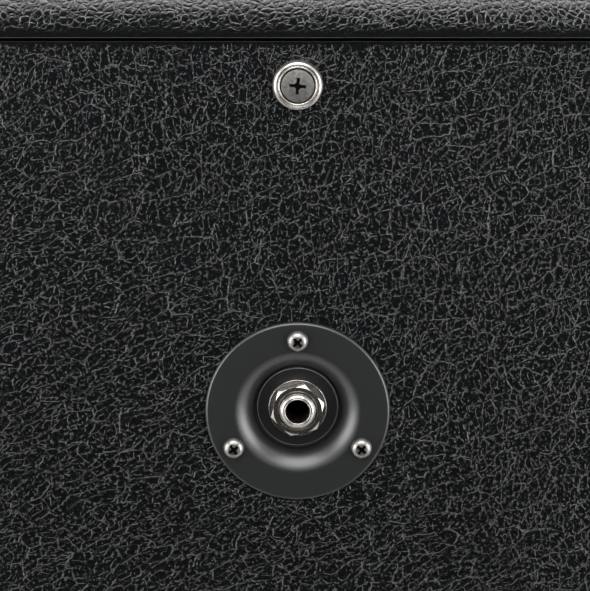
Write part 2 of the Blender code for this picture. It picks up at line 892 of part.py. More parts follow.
jack_washer = add_turned(
    "jack_washer",
    [
        (BUSH_RADIUS + HOLE_PLAY, washer_bottom + JACK_WASHER),
        (JACK_WASHER_RADIUS, washer_bottom + JACK_WASHER),
        (JACK_WASHER_RADIUS, washer_bottom),
        (BUSH_RADIUS + HOLE_PLAY, washer_bottom),
    ],
    "bright_nickel",
    (0, PANEL_FACE, JACK_Z),
    REARWARD,
    JACK_STEPS,
)


nut_corner = JACK_NUT_ACROSS / 2 / math.cos(math.pi / 6)
jack_nut = add_part(
    "jack_nut",
    rod_mesh("jack_nut", nut_corner, JACK_NUT, 6),
    "bright_nickel",
    (0, PANEL_FACE + nut_bottom + JACK_NUT / 2, JACK_Z),
    (REARWARD[0], NUT_TURN, 0),
)
nut_blank = add_cutter(
    "jack_nut_chamfer",
    profile_mesh(
        "jack_nut_chamfer",
        [
            (0.0, JACK_NUT / 2 + GAP),
            (JACK_NUT_ACROSS / 2, JACK_NUT / 2 + GAP),
            (JACK_NUT_ACROSS / 2, JACK_NUT / 2),
            (nut_corner + GAP, JACK_NUT / 2 - NUT_CHAMFER),
            (nut_corner + GAP, -JACK_NUT),
            (0.0, -JACK_NUT),
        ],
        closed=False,
    ),
    (0, PANEL_FACE + nut_bottom + JACK_NUT / 2, JACK_Z),
    REARWARD,
)
turn(nut_blank, JACK_STEPS)
apply_boolean(jack_nut, nut_blank, "INTERSECT")
nut_bore = add_rod_cutter(
    "jack_nut_bore",
    BUSH_RADIUS + HOLE_PLAY,
    3 * JACK_NUT,
    (0, PANEL_FACE + nut_bottom, JACK_Z),
    REARWARD,
    JACK_STEPS,
)
cut([jack_nut], nut_bore)

# The tip spring lies beside its post, then bends in to touch the plug's tip.
# Its origin is the bend's root, where it flexes.
TIP_ROOT_X = JACK_FRAME_RADIUS + GAP + TIP_SPRING / 2
TIP_ROOT_Y = PANEL_FACE + FRAME_DISC_BACK - TIP_SPRING_CLAMP


def tip_spring_curve():
    """The leaf as a flat outline: a centre line in from its root, thickened to both sides."""
    into = TIP_CONTACT_RADIUS + TIP_SPRING / 2 - TIP_ROOT_X
    centre = [
        (0.0, TIP_SPRING_CLAMP - GAP),
        (0.0, TIP_SPRING_CLAMP - JACK_POST - GAP),
        (into + TIP_CONTACT_RISE, TIP_CONTACT_LENGTH / 2 - TIP_CONTACT_BACK),
        (into, -TIP_CONTACT_BACK),
        (into + TIP_CONTACT_RISE, -TIP_CONTACT_LENGTH / 2 - TIP_CONTACT_BACK),
        (into + TIP_LEAD_IN, -TIP_SPRING_REACH),
    ]
    half = TIP_SPRING / 2
    outline = [(x - half, y) for x, y in centre]
    outline += [(x + half, y) for x, y in reversed(centre)]
    curve = bpy.data.curves.new("jack_tip_spring", "CURVE")
    curve.dimensions = "2D"
    curve.fill_mode = "BOTH"
    curve.extrude = TIP_SPRING_WIDTH / 2
    spline = curve.splines.new("POLY")
    spline.points.add(len(outline) - 1)
    for target, (x, y) in zip(spline.points, outline):
        target.co = (x, y, 0.0, 1.0)
    spline.use_cyclic_u = True
    return curve


jack_tip_spring = add_part(
    "jack_tip_spring", tip_spring_curve(), "phosphor_bronze", (TIP_ROOT_X, TIP_ROOT_Y, JACK_Z)
)


# Driver: basket, soft parts, moving parts and motor, all turned about one axis

DRIVER_PLACE = (0, BAFFLE_FRONT, DRIVER_Z)


def add_driver_piece(name, profile, finish):
    return add_turned(name, profile, finish, DRIVER_PLACE, FORWARD, DRIVER_STEPS)


def cone_height(radius):
    """Height of the cone's front face: steeper towards the neck."""
    inward = (CONE_LIP_RADIUS - radius) / (CONE_LIP_RADIUS - NECK_RADIUS)
    return CONE_TOP - CONE_DEPTH * inward**CONE_CURVE


ledge_top = LEDGE_HEIGHT + BASKET_WALL - BASKET_DEPTH
wall_radius = CUTOUT_RADIUS - CUTOUT_ROOM
speaker_basket = add_driver_piece(
    "speaker_basket",
    [
        (SEAT_RADIUS, RIM_TOP),
        (DRIVER_RADIUS, RIM_TOP),
        (DRIVER_RADIUS, GAP),
        (wall_radius, GAP),
        (wall_radius, -BASKET_WALL),
        (LEDGE_RADIUS + LEDGE_WIDTH + BASKET_WALL, ledge_top - BASKET_WALL),
        (LEDGE_RADIUS + LEDGE_WIDTH + BASKET_WALL, -BASKET_DEPTH),
        (MAGNET_BORE, -BASKET_DEPTH),
        (MAGNET_BORE, BASKET_WALL - BASKET_DEPTH),
        (LEDGE_RADIUS, BASKET_WALL - BASKET_DEPTH),
        (LEDGE_RADIUS, ledge_top),
        (LEDGE_RADIUS + LEDGE_WIDTH, ledge_top),
        (wall_radius - BASKET_WALL, -BASKET_WALL),
        (wall_radius - BASKET_WALL, RIM_TOP - BASKET_WALL),
        (SEAT_RADIUS, RIM_TOP - BASKET_WALL),
    ],
    "black_painted_steel",
)
window_inner = LEDGE_RADIUS + LEDGE_WIDTH + WINDOW_FRAME_INNER
window_outer = wall_radius - WINDOW_FRAME_OUTER
for index in range(WINDOWS):
    angle = 2 * math.pi * (index + 0.5) / WINDOWS
    radius = (window_inner + window_outer) / 2
    size = (window_outer - window_inner, WINDOW_WIDTH, BASKET_DEPTH)
    window = add_cutter(
        f"basket_window_{index}",
        mesh_of(f"basket_window_{index}", cube(size)),
        (
            radius * math.cos(angle),
            BAFFLE_FRONT + BASKET_DEPTH / 2 + 2 * BASKET_WALL,
            DRIVER_Z + radius * math.sin(angle),
        ),
    )
    window.rotation_euler = (math.pi / 2, 0, 0)
    window.rotation_euler.rotate_axis("Z", angle)
    cut([speaker_basket], window)

surround_bottom = RIM_TOP + GAP
surround_top = surround_bottom + SURROUND
lip_top = CONE_TOP + GAP + SURROUND
roll_step = (SEAT_RADIUS - CONE_RADIUS) / 4
roll_top = surround_top + SURROUND_ROLL
speaker_surround = add_driver_piece(
    "speaker_surround",
    [
        (CONE_LIP_RADIUS + GAP, lip_top),
        (CONE_RADIUS, lip_top),
        (CONE_RADIUS + roll_step, roll_top),
        (CONE_RADIUS + 2 * roll_step, roll_top - SURROUND_DIP),
        (CONE_RADIUS + 3 * roll_step, roll_top),
        (SEAT_RADIUS + SURROUND, surround_top),
        (DRIVER_RADIUS - SURROUND_INSET, surround_top),
        (DRIVER_RADIUS - SURROUND_INSET, surround_bottom),
        (SEAT_RADIUS, surround_bottom),
        (CONE_RADIUS + 3 * roll_step, roll_top - 2 * SURROUND),
        (CONE_RADIUS + 2 * roll_step, roll_top - SURROUND_DIP - 2 * SURROUND),
        (CONE_RADIUS + roll_step, roll_top - 2 * SURROUND),
        (CONE_RADIUS + GAP, lip_top - SURROUND),
        (CONE_LIP_RADIUS + GAP, lip_top - SURROUND),
    ],
    "treated_cloth",
)
gasket_bottom = surround_top + GAP
speaker_gasket = add_driver_piece(
    "speaker_gasket",
    [
        (DRIVER_RADIUS - GASKET_INSET - GASKET_WIDTH, gasket_bottom + GASKET),
        (DRIVER_RADIUS - GASKET_INSET, gasket_bottom + GASKET),
        (DRIVER_RADIUS - GASKET_INSET, gasket_bottom),
        (DRIVER_RADIUS - GASKET_INSET - GASKET_WIDTH, gasket_bottom),
    ],
    "black_rubber",
)
cone_radii = [
    NECK_RADIUS + (CONE_LIP_RADIUS - NECK_RADIUS) * ring / CONE_RINGS
    for ring in range(CONE_RINGS + 1)
]
speaker_cone = add_driver_piece(
    "speaker_cone",
    [
        *((radius, cone_height(radius)) for radius in cone_radii),
        (CONE_RADIUS, CONE_TOP),
        (CONE_RADIUS, CONE_TOP - CONE_PAPER),
        *((radius, cone_height(radius) - CONE_PAPER) for radius in reversed(cone_radii)),
    ],
    "paper_pulp",
)


def cap_height(radius, base):
    return base + DUST_CAP_CROWN * (1 - (radius / DUST_CAP_RADIUS) ** 2)


cap_base = cone_height(DUST_CAP_RADIUS) + GAP
cap_radii = [DUST_CAP_RADIUS * ring / DUST_CAP_RINGS for ring in range(DUST_CAP_RINGS + 1)]
dust_cap = add_driver_piece(
    "dust_cap",
    [
        *((radius, cap_height(radius, cap_base) + CONE_PAPER) for radius in cap_radii),
        (DUST_CAP_RADIUS, cap_base),
        *((radius, cap_height(radius, cap_base)) for radius in reversed(cap_radii[:-1])),
    ],
    "paper_pulp",
)
coil_top = cone_height(NECK_RADIUS) + CONE_PAPER
coil_bottom = -BASKET_DEPTH - TOP_PLATE - COIL_OVERHANG
winding_top = COIL_OVERHANG - BASKET_DEPTH
voice_coil = add_driver_piece(
    "voice_coil",
    [
        (COIL_BORE, coil_top),
        (COIL_OUTER, coil_top),
        (COIL_OUTER, winding_top),
        (COIL_OUTER + COIL_WINDING, winding_top),
        (COIL_OUTER + COIL_WINDING, coil_bottom),
        (COIL_BORE, coil_bottom),
    ],
    "copper_winding",
)
spider_bottom = ledge_top + GAP
wave_start = NECK_RADIUS + SPIDER_COLLAR
wave_end = LEDGE_RADIUS - SPIDER_WAVE
waves = [
    (
        wave_start + (wave_end - wave_start) * turning / (2 * SPIDER_WAVES),
        spider_bottom + (SPIDER_WAVE if turning % 2 else 0.0),
    )
    for turning in range(2 * SPIDER_WAVES + 1)
]
spider_line = [
    (NECK_RADIUS, spider_bottom),
    *waves,
    (LEDGE_RADIUS + LEDGE_WIDTH - GAP, spider_bottom),
]
spider = add_driver_piece(
    "spider",
    [
        *((radius, height + SPIDER) for radius, height in spider_line),
        *reversed(spider_line),
    ],
    "treated_cloth",
)
top_plate_top = -BASKET_DEPTH - GAP
gap_radius = COIL_OUTER + COIL_WINDING + COIL_GAP
top_plate = add_driver_piece(
    "top_plate",
    [
        (gap_radius, top_plate_top),
        (TOP_PLATE_RADIUS, top_plate_top),
        (TOP_PLATE_RADIUS, top_plate_top - TOP_PLATE),
        (gap_radius, top_plate_top - TOP_PLATE),
    ],
    "zinc_plated_steel",
)
magnet = add_driver_piece(
    "magnet",
    [
        (MAGNET_BORE, MAGNET_TOP),
        (MAGNET_RADIUS, MAGNET_TOP),
        (MAGNET_RADIUS, MAGNET_TOP - MAGNET),
        (MAGNET_BORE, MAGNET_TOP - MAGNET),
    ],
    "ferrite",
)
pole_radius = COIL_BORE - COIL_GAP
back_plate = add_driver_piece(
    "back_plate",
    [
        (POLE_VENT, top_plate_top),
        (pole_radius, top_plate_top),
        (pole_radius, BACK_PLATE_TOP),
        (TOP_PLATE_RADIUS, BACK_PLATE_TOP),
        (TOP_PLATE_RADIUS, BACK_PLATE_TOP - BACK_PLATE),
        (POLE_VENT, BACK_PLATE_TOP - BACK_PLATE),
    ],
    "zinc_plated_steel",
)
terminal_y = BAFFLE_FRONT + BASKET_DEPTH + GAP
terminal_bottom = DRIVER_Z + MAGNET_RADIUS + TERMINAL_CLEAR
speaker_terminals = add_block(
    "speaker_terminals",
    (-TERMINAL_WIDTH / 2, terminal_y, terminal_bottom),
    (TERMINAL_WIDTH / 2, terminal_y + TERMINAL_DEPTH, terminal_bottom + TERMINAL_HEIGHT),
    "black_plastic",
)
driver_hole = add_rod_cutter(
    "driver_cutout",
    CUTOUT_RADIUS,
    2 * BAFFLE,
    (0, BAFFLE_FRONT + BAFFLE / 2, DRIVER_Z),
    REARWARD,
    segments=DRIVER_STEPS,
)
cut([baffle_board], driver_hole)


# Ports

flare = [
    (
        PORT_BORE + PORT_FLARE * (1 - math.sin(math.pi / 2 * step / PORT_FLARE_STEPS)),
        GAP + PORT_FLANGE - PORT_FLARE * (1 - math.cos(math.pi / 2 * step / PORT_FLARE_STEPS)),
    )
    for step in range(PORT_FLARE_STEPS + 1)
]
port_profile = [
    (PORT_BORE, -PORT_LENGTH),
    *reversed(flare),
    (PORT_FLANGE_RADIUS, GAP + PORT_FLANGE),
    (PORT_FLANGE_RADIUS, GAP),
    (PORT_BORE + PORT_WALL, GAP),
    (PORT_BORE + PORT_WALL, -PORT_LENGTH),
]
for name, side in (("left", -1), ("right", 1)):
    place = (side * PORT_X, BAFFLE_FRONT, PORT_Z)
    add_turned(
        f"port_tube_{name}", port_profile, "black_plastic", place, FORWARD, steps=PORT_STEPS
    )
    port_hole = add_rod_cutter(
        f"port_hole_{name}",
        PORT_BORE + PORT_WALL + 2 * HOLE_PLAY,
        2 * BAFFLE,
        (place[0], BAFFLE_FRONT + BAFFLE / 2, place[2]),
        FORWARD,
        segments=PORT_STEPS,
    )
    cut([baffle_board], port_hole)


# Grille: frame, cloth and the strips that hold it

GRILLE_X = MOUTH_X - GRILLE_PLAY
GRILLE_Z = MOUTH_Z - GRILLE_PLAY
grille_cloth = add_part(
    "grille_cloth",
    open_block_mesh(
        "grille_cloth",
        (2 * GRILLE_X, FRAME_BACK - GRILLE_FACE, 2 * GRILLE_Z),
        SIDES["rear"],
        ALL_BUT_REAR,
        GRILLE_EDGE,
        LIP_STEPS,
    ),
    "grille_weave",
    (0, (GRILLE_FACE + FRAME_BACK) / 2, BOX_MIDDLE),
)
solidify(grille_cloth, COVERING)
frame_x = GRILLE_X - SKIN
frame_z = GRILLE_Z - SKIN
grille_frame = add_block(
    "grille_frame",
    (-frame_x, FRAME_BACK - GRILLE_FRAME, BOX_MIDDLE - frame_z),
    (frame_x, FRAME_BACK, BOX_MIDDLE + frame_z),
    "black_painted_plywood",
    ALL_BUT_REAR,
    GRILLE_EDGE - SKIN,
    LIP_STEPS,
)
opening_x = frame_x - GRILLE_RING
opening_z = frame_z - GRILLE_RING
grille_opening = add_block_cutter(
    "grille_opening",
    (-opening_x, FRAME_BACK - 2 * GRILLE_FRAME, BOX_MIDDLE - opening_z),
    (opening_x, FRAME_BACK + GRILLE_FRAME, BOX_MIDDLE + opening_z),
)
cut([grille_frame], grille_opening)
for name, side in (("left", -1), ("right", 1)):
    x = side * (frame_x - GRILLE_RING / 2)
    add_block(
        f"hook_strip_{name}",
        (x - STRIP_WIDTH / 2, FRAME_BACK + GAP, BOX_MIDDLE - STRIP_LENGTH / 2),
        (x + STRIP_WIDTH / 2, FRAME_BACK + GAP + STRIP, BOX_MIDDLE + STRIP_LENGTH / 2),
        "hook_and_loop",
    )


# Side handles


def handle_dish_mesh():
    """The open surface of a flange pressed into a pocket, facing +X."""
    bm = bmesh.new()
    bmesh.ops.create_grid(bm, x_segments=1, y_segments=1, size=0.5)
    size = (POCKET_WIDTH + 2 * HANDLE_FLANGE, POCKET_HEIGHT + 2 * HANDLE_FLANGE, 1.0)
    bmesh.ops.scale(bm, vec=size, verts=bm.verts)
    bmesh.ops.bevel(
        bm,
        geom=list(bm.verts),
        offset=POCKET_CORNER + HANDLE_FLANGE,
        offset_type="OFFSET",
        segments=HANDLE_CORNER_STEPS,
        profile=0.5,
        affect="VERTICES",
    )
    bm.normal_update()
    pocket = next(iter(bm.faces))
    bmesh.ops.inset_region(
        bm, faces=[pocket], thickness=HANDLE_FLANGE, use_boundary=True, use_even_offset=True
    )
    floor = bmesh.ops.extrude_discrete_faces(bm, faces=[pocket])["faces"][0]
    bmesh.ops.translate(bm, vec=(0, 0, -POCKET_DEPTH), verts=floor.verts)
    bm.normal_update()
    bends = [
        edge
        for edge in bm.edges
        if len(edge.link_faces) == 2 and edge.calc_face_angle(0) > math.radians(80)
    ]
    round_edges(bm, bends, POCKET_EDGE, LIP_STEPS)
    bmesh.ops.rotate(bm, cent=(0, 0, 0), matrix=Matrix.Rotation(math.pi / 2, 3, "Z"), verts=bm.verts)
    bmesh.ops.rotate(bm, cent=(0, 0, 0), matrix=Matrix.Rotation(math.pi / 2, 3, "Y"), verts=bm.verts)
    mesh = bpy.data.meshes.new("handle_dish")
    bm.to_mesh(mesh)
    bm.free()
    return mesh


PIVOT_Z = POCKET_HEIGHT / 2 - BAIL_DROP
BAIL_X = HANDLE_TOP - BAIL_SINK
leg_y = POCKET_WIDTH / 2 - BAIL_ROD - BAIL_SIDE_PLAY
pin_y = POCKET_WIDTH / 2 + PIN_REACH


def bail_points():
    """The bail's centre line about its pivot: pin, leg, grip bar, leg, pin."""
    pin_bend = BAIL_ROD + BAIL_SIDE_PLAY / 2
    half = [Vector((0, -pin_y, 0))]
    half += fillet((0, -pin_y, 0), (0, -leg_y, 0), (0, -leg_y, -BAIL_LEG), pin_bend, BAIL_PIN_STEPS)
    half += fillet((0, -leg_y, 0), (0, -leg_y, -BAIL_LEG), (0, 0, -BAIL_LEG), BAIL_BEND, BAIL_BEND_STEPS)
    mirrored = [Vector((0, -point.y, point.z)) for point in reversed(half)]
    return half + mirrored


grip_profile = [
    (BAIL_ROD + GAP, GRIP_LENGTH / 2),
    (GRIP_RADIUS - GRIP_END, GRIP_LENGTH / 2),
    (GRIP_RADIUS, GRIP_LENGTH / 2 - GRIP_END),
    (GRIP_RADIUS, GRIP_END - GRIP_LENGTH / 2),
    (GRIP_RADIUS - GRIP_END, -GRIP_LENGTH / 2),
    (BAIL_ROD + GAP, -GRIP_LENGTH / 2),
]
for name, side, board in (("left", -1, left_board), ("right", 1, right_board)):
    facing = 0.0 if side > 0 else math.pi
    dish = add_part(
        f"handle_dish_{name}",
        handle_dish_mesh(),
        "black_painted_steel",
        (side * (WIDTH / 2 + HANDLE_TOP), 0, HANDLE_Z),
        (0, 0, facing),
    )
    solidify(dish, HANDLE_SHEET)
    pivot = bpy.data.objects.new(f"handle_pivot_{name}", None)
    pivot.location = (side * (WIDTH / 2 + BAIL_X), 0, HANDLE_Z + PIVOT_Z)
    pivot.rotation_euler = (0, 0, facing)
    PARTS.objects.link(pivot)
    add_part(
        f"handle_bail_{name}",
        tube_curve(f"handle_bail_{name}", bail_points(), BAIL_ROD),
        "zinc_plated_steel",
        parent=pivot,
    )
    add_turned(
        f"handle_grip_{name}",
        grip_profile,
        "black_rubber",
        (0, 0, -BAIL_LEG),
        REARWARD,
        steps=16,
        parent=pivot,
    )
    pin_hole = add_rod_cutter(
        f"handle_pin_hole_{name}",
        BAIL_ROD + HOLE_PLAY,
        POCKET_WIDTH + 4 * HANDLE_FLANGE,
        (side * (WIDTH / 2 + BAIL_X), 0, HANDLE_Z + PIVOT_Z),
        REARWARD,
    )
    cut([dish], pin_hole)
    half_y = POCKET_WIDTH / 2 + HANDLE_CUTOUT_PLAY
    half_z = POCKET_HEIGHT / 2 + HANDLE_CUTOUT_PLAY
    depth = sorted((side * (INNER_X - GAP), side * (WIDTH / 2 + GAP)))
    handle_cutout = add_block_cutter(
        f"handle_cutout_{name}",
        (depth[0], -half_y, HANDLE_Z - half_z),
        (depth[1], half_y, HANDLE_Z + half_z),
    )
    cut([board, shell_covering], handle_cutout)


# Corner protectors: three-sided caps, trimmed round and kept clear of the two mouths


def corner_mesh():
    """A cap over the corner at the local origin, whose faces look to +X, +Y and +Z."""
    bm = cube((2 * CORNER_REACH,) * 3)
    bmesh.ops.translate(bm, vec=(GAP - CORNER_REACH,) * 3, verts=bm.verts)
    hidden = [face for face in bm.faces if face.normal.dot(Vector((1, 1, 1))) < 0]
    bmesh.ops.delete(bm, geom=hidden, context="FACES")
    inner = [edge for edge in bm.edges if len(edge.link_faces) == 2]
    round_edges(bm, inner, EDGE_RADIUS + GAP, EDGE_STEPS)
    mesh = bpy.data.meshes.new("corner")
    bm.to_mesh(mesh)
    bm.free()
    cap = add_part("corner", mesh, "black_plastic")
    solidify(cap, CORNER_SHEET, outward=True)
    bm = bmesh.new()
    bmesh.ops.create_uvsphere(bm, u_segments=16, v_segments=8, radius=CORNER_REACH)
    trim = add_cutter("corner_trim", mesh_of("corner_trim", bm), (-EDGE_RADIUS,) * 3)
    apply_boolean(cap, trim, "INTERSECT")
    return bake(cap)


corner = corner_mesh()
mouth_room = add_block_cutter(
    "mouth_room",
    (-MOUTH_X - CORNER_MARGIN, -DEPTH, BOX_MIDDLE - MOUTH_Z - CORNER_MARGIN),
    (MOUTH_X + CORNER_MARGIN, DEPTH, BOX_MIDDLE + MOUTH_Z + CORNER_MARGIN),
)
for level, z, tipped in (("bottom", BOX_BOTTOM, math.pi), ("top", BOX_TOP, 0.0)):
    for end, y in (("front", -DEPTH / 2), ("rear", DEPTH / 2)):
        for name, x in (("left", -WIDTH / 2), ("right", WIDTH / 2)):
            # Turned upside down about X, the cap looks to -Y and -Z, so its turn about Z changes.
            towards = math.atan2(y, x)
            base = math.atan2(-1.0, 1.0) if tipped else math.atan2(1.0, 1.0)
            quarter = round((towards - base) / (math.pi / 2)) * math.pi / 2
            cap = add_part(
                f"corner_{level}_{end}_{name}",
                corner.copy(),
                "black_plastic",
                (x, y, z),
                (tipped, 0, quarter),
            )
            cut([cap], mouth_room)


# Feet

foot_top = FOOT_HEIGHT - GAP
foot_profile = [
    (0.0, foot_top),
    (FOOT_RADIUS, foot_top),
    (FOOT_RADIUS - FOOT_TAPER, FOOT_ROUND),
    (FOOT_RADIUS - FOOT_TAPER - FOOT_ROUND, 0.0),
    (FOOT_WELL_RADIUS, 0.0),
    (FOOT_WELL_RADIUS, FOOT_WELL),
    (0.0, FOOT_WELL),
]
for end, y in (("front", FOOT_INSET - DEPTH / 2), ("rear", DEPTH / 2 - FOOT_INSET)):
    for name, x in (("left", FOOT_INSET - WIDTH / 2), ("right", WIDTH / 2 - FOOT_INSET)):
        add_turned(
            f"foot_{end}_{name}", foot_profile, "black_rubber", (x, y, 0), (0, 0, 0), steps=16
        )


# Brace, damping pad and the lead from the jack to the driver

cross_brace = add_block(
    "cross_brace",
    (GAP - INNER_X, BRACE_Y - BRACE_DEPTH / 2, BRACE_Z - BOARD / 2),
    (INNER_X - GAP, BRACE_Y + BRACE_DEPTH / 2, BRACE_TOP),
    "birch_plywood",
)
damping_pad = add_block(
    "damping_pad",
    (-PAD_WIDTH / 2, PANEL_FRONT - GAP - PAD, PAD_BOTTOM),
    (PAD_WIDTH / 2, PANEL_FRONT - GAP, PAD_BOTTOM + PAD_HEIGHT),
    "polyester_wadding",
    ALL_BUT_REAR,
    PAD_ROUND,
    LIP_STEPS,
)

lead_x = -(JACK_POST_INSET + JACK_FRAME_RADIUS) / 2
post_back = PANEL_FACE + FRAME_DISC_BACK - JACK_POST - GAP
lead_rest = BRACE_TOP + LEAD_RADIUS + GAP
terminal_back = terminal_y + TERMINAL_DEPTH + GAP
terminal_z = terminal_bottom + TERMINAL_HEIGHT / 2
lead_route = [
    Vector((lead_x, post_back, JACK_Z)),
    Vector((lead_x, post_back - 0.012, JACK_Z)),
    Vector((lead_x, 0.150, JACK_Z - 0.012)),
    Vector((lead_x / 2, 0.118, JACK_Z - 0.052)),
    Vector((0.0, BRACE_Y + BRACE_DEPTH, lead_rest + 0.016)),
    Vector((0.0, BRACE_Y, lead_rest)),
    Vector((0.0, BRACE_Y - BRACE_DEPTH, lead_rest + 0.016)),
    Vector((0.0, -0.026, terminal_z - 0.014)),
    Vector((0.0, terminal_back + 0.014, terminal_z)),
    Vector((0.0, terminal_back, terminal_z)),
]
speaker_lead = add_part(
    "speaker_lead",
    tube_curve("speaker_lead", smooth_route(lead_route, LEAD_STEPS), LEAD_RADIUS),
    "lead_jacket",
)
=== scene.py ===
import math

import bmesh
import bpy
from mathutils import Matrix, Vector


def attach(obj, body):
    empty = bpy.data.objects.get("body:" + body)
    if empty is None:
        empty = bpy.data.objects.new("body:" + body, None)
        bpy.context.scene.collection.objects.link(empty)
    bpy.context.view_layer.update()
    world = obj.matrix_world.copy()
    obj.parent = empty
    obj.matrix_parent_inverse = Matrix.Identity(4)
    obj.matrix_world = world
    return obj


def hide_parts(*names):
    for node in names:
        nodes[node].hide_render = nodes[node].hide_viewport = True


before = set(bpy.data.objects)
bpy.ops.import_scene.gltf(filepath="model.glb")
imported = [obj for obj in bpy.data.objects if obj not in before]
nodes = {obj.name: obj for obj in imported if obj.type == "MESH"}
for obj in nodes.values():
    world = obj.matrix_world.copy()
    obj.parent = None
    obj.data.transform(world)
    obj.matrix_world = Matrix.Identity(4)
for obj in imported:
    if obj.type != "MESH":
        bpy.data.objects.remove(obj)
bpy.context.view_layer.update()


# Camera: a long lens close behind the cabinet, a little above its jack and looking down at it, as in
# the photograph. No cord leaves the cabinet, so none is made.
CAMERA_PLACE = (0.0007, 0.7566, 0.6711)
CAMERA_LENS = 134.24
CAMERA_DIP = 14.03
camera = bpy.data.objects.new("camera", bpy.data.cameras.new("camera"))
camera.data.sensor_fit = "HORIZONTAL"
camera.data.sensor_width = 36.0
camera.data.lens = CAMERA_LENS
camera.location = CAMERA_PLACE
camera.rotation_euler = (math.radians(90 - CAMERA_DIP), 0, math.pi)
bpy.context.scene.collection.objects.link(camera)
bpy.context.scene.camera = camera
bpy.context.scene.view_settings.view_transform = "Standard"


# Studio: a pale floor under a pale sky, softboxes above and to both sides of the rear panel, one more
# for the front, and a black card that only reflections see, so that flat vinyl stays dark.
def linear(code):
    """The colour that a shader takes for an sRGB hex code."""
    parts = [int(code[at : at + 2], 16) / 255 for at in (1, 3, 5)]
    return (*(c / 12.92 if c <= 0.04045 else ((c + 0.055) / 1.055) ** 2.4 for c in parts), 1.0)


def feed(tree, node, inputs):
    """Gives each input a value, or a link from a socket or from a node's first output in use."""
    for name, value in inputs.items():
        if isinstance(value, bpy.types.Node):
            value = next(output for output in value.outputs if output.enabled)
        if isinstance(value, bpy.types.NodeSocket):
            tree.links.new(value, node.inputs[name])
        else:
            node.inputs[name].default_value = value


def add_node(tree, kind, inputs, **settings):
    """One shader node with its settings and its inputs."""
    made = tree.nodes.new("ShaderNode" + kind)
    for name, value in settings.items():
        setattr(made, name, value)
    feed(tree, made, inputs)
    return made


def new_finish(name, colour, roughness):
    """A material, its node tree, its shader, and the object's own coordinates in millimetres."""
    material = bpy.data.materials.new(name)
    material.use_nodes = True
    tree = material.node_tree
    shader = tree.nodes["Principled BSDF"]
    feed(tree, shader, {"Base Color": linear(colour), "Roughness": roughness})
    place = add_node(tree, "TexCoord", {}).outputs["Object"]
    in_mm = add_node(tree, "VectorMath", {0: place, "Scale": 1000.0}, operation="SCALE")
    return material, tree, shader, in_mm


def reflected_or_seen(tree):
    """1 for rays from the eye, off a gloss or through glass, and 0 for the light that a thing gets."""
    ray = add_node(tree, "LightPath", {}).outputs
    gloss = add_node(
        tree, "Math", {0: ray["Is Glossy Ray"], 1: ray["Is Transmission Ray"]}, operation="MAXIMUM"
    )
    return add_node(tree, "Math", {0: ray["Is Camera Ray"], 1: gloss}, operation="MAXIMUM")


SKY_TONE = "#FCFDFF"
SKY_SEEN = 0.97
SKY_LIGHT = 0.22
sky = bpy.data.worlds.new("pale_sky")
sky.use_nodes = True
tree = sky.node_tree
strength = add_node(
    tree, "Mix", {"Factor": reflected_or_seen(tree), "A": SKY_LIGHT, "B": SKY_SEEN}, data_type="FLOAT"
)
feed(tree, tree.nodes["Background"], {"Color": linear(SKY_TONE), "Strength": strength})
bpy.context.scene.world = sky

FLOOR_RADIUS = 16.0
# Between these distances from its middle, in mm, the floor turns to the sky's own tone, so that no
# horizon shows.
FADE_START = 700.0
FADE_END = 1600.0
floor_paint, tree, shader, mm = new_finish("matt_studio_floor", "#E6E6E4", 0.9)
grit = add_node(tree, "TexNoise", {"Vector": mm, "Scale": 0.09, "Detail": 3.0})
paint = add_node(
    tree, "Mix", {"Factor": grit, "A": linear("#E3E3E1"), "B": linear("#E9E9E7")}, data_type="RGBA"
)
feed(tree, shader, {"Base Color": paint, "Specular IOR Level": 0.1})
reach = add_node(tree, "VectorMath", {0: mm}, operation="LENGTH")
far = add_node(
    tree,
    "MapRange",
    {"Value": reach, "From Min": FADE_START, "From Max": FADE_END},
    interpolation_type="SMOOTHSTEP",
)
far_seen = add_node(tree, "Math", {0: far, 1: reflected_or_seen(tree)}, operation="MULTIPLY")
glow = add_node(tree, "Emission", {"Color": linear(SKY_TONE), "Strength": SKY_SEEN})
blend = add_node(tree, "MixShader", {0: far_seen, 1: shader, 2: glow})
feed(tree, tree.nodes["Material Output"], {"Surface": blend})


def add_object(name, data, material=None):
    """An object in the scene, with its only material if one is given."""
    made = bpy.data.objects.new(name, data)
    if material:
        data.materials.clear()
        data.materials.append(material)
    bpy.context.scene.collection.objects.link(made)
    return made


floor_mesh = bpy.data.meshes.new("studio_floor")
bm = bmesh.new()
bmesh.ops.create_circle(bm, cap_ends=True, segments=96, radius=FLOOR_RADIUS)
bm.to_mesh(floor_mesh)
bm.free()
add_object("studio_floor", floor_mesh, floor_paint)

black_card = new_finish("black_studio_card", "#060606", 1.0)[0]
CARD_WIDTH = 0.66
CARD_FOOT = 0.002
CARD_TOP = 0.67
CARD_Y = 0.55
card_corners = ((-1, CARD_FOOT), (1, CARD_FOOT), (1, CARD_TOP), (-1, CARD_TOP))
card_mesh = bpy.data.meshes.new("studio_card")
card_mesh.from_pydata(
    [(side * CARD_WIDTH / 2, CARD_Y, z) for side, z in card_corners], [], [(0, 1, 2, 3)]
)
card = add_object("studio_card", card_mesh, black_card)
card.visible_camera = card.visible_diffuse = card.visible_shadow = False
card.visible_transmission = card.visible_volume_scatter = False

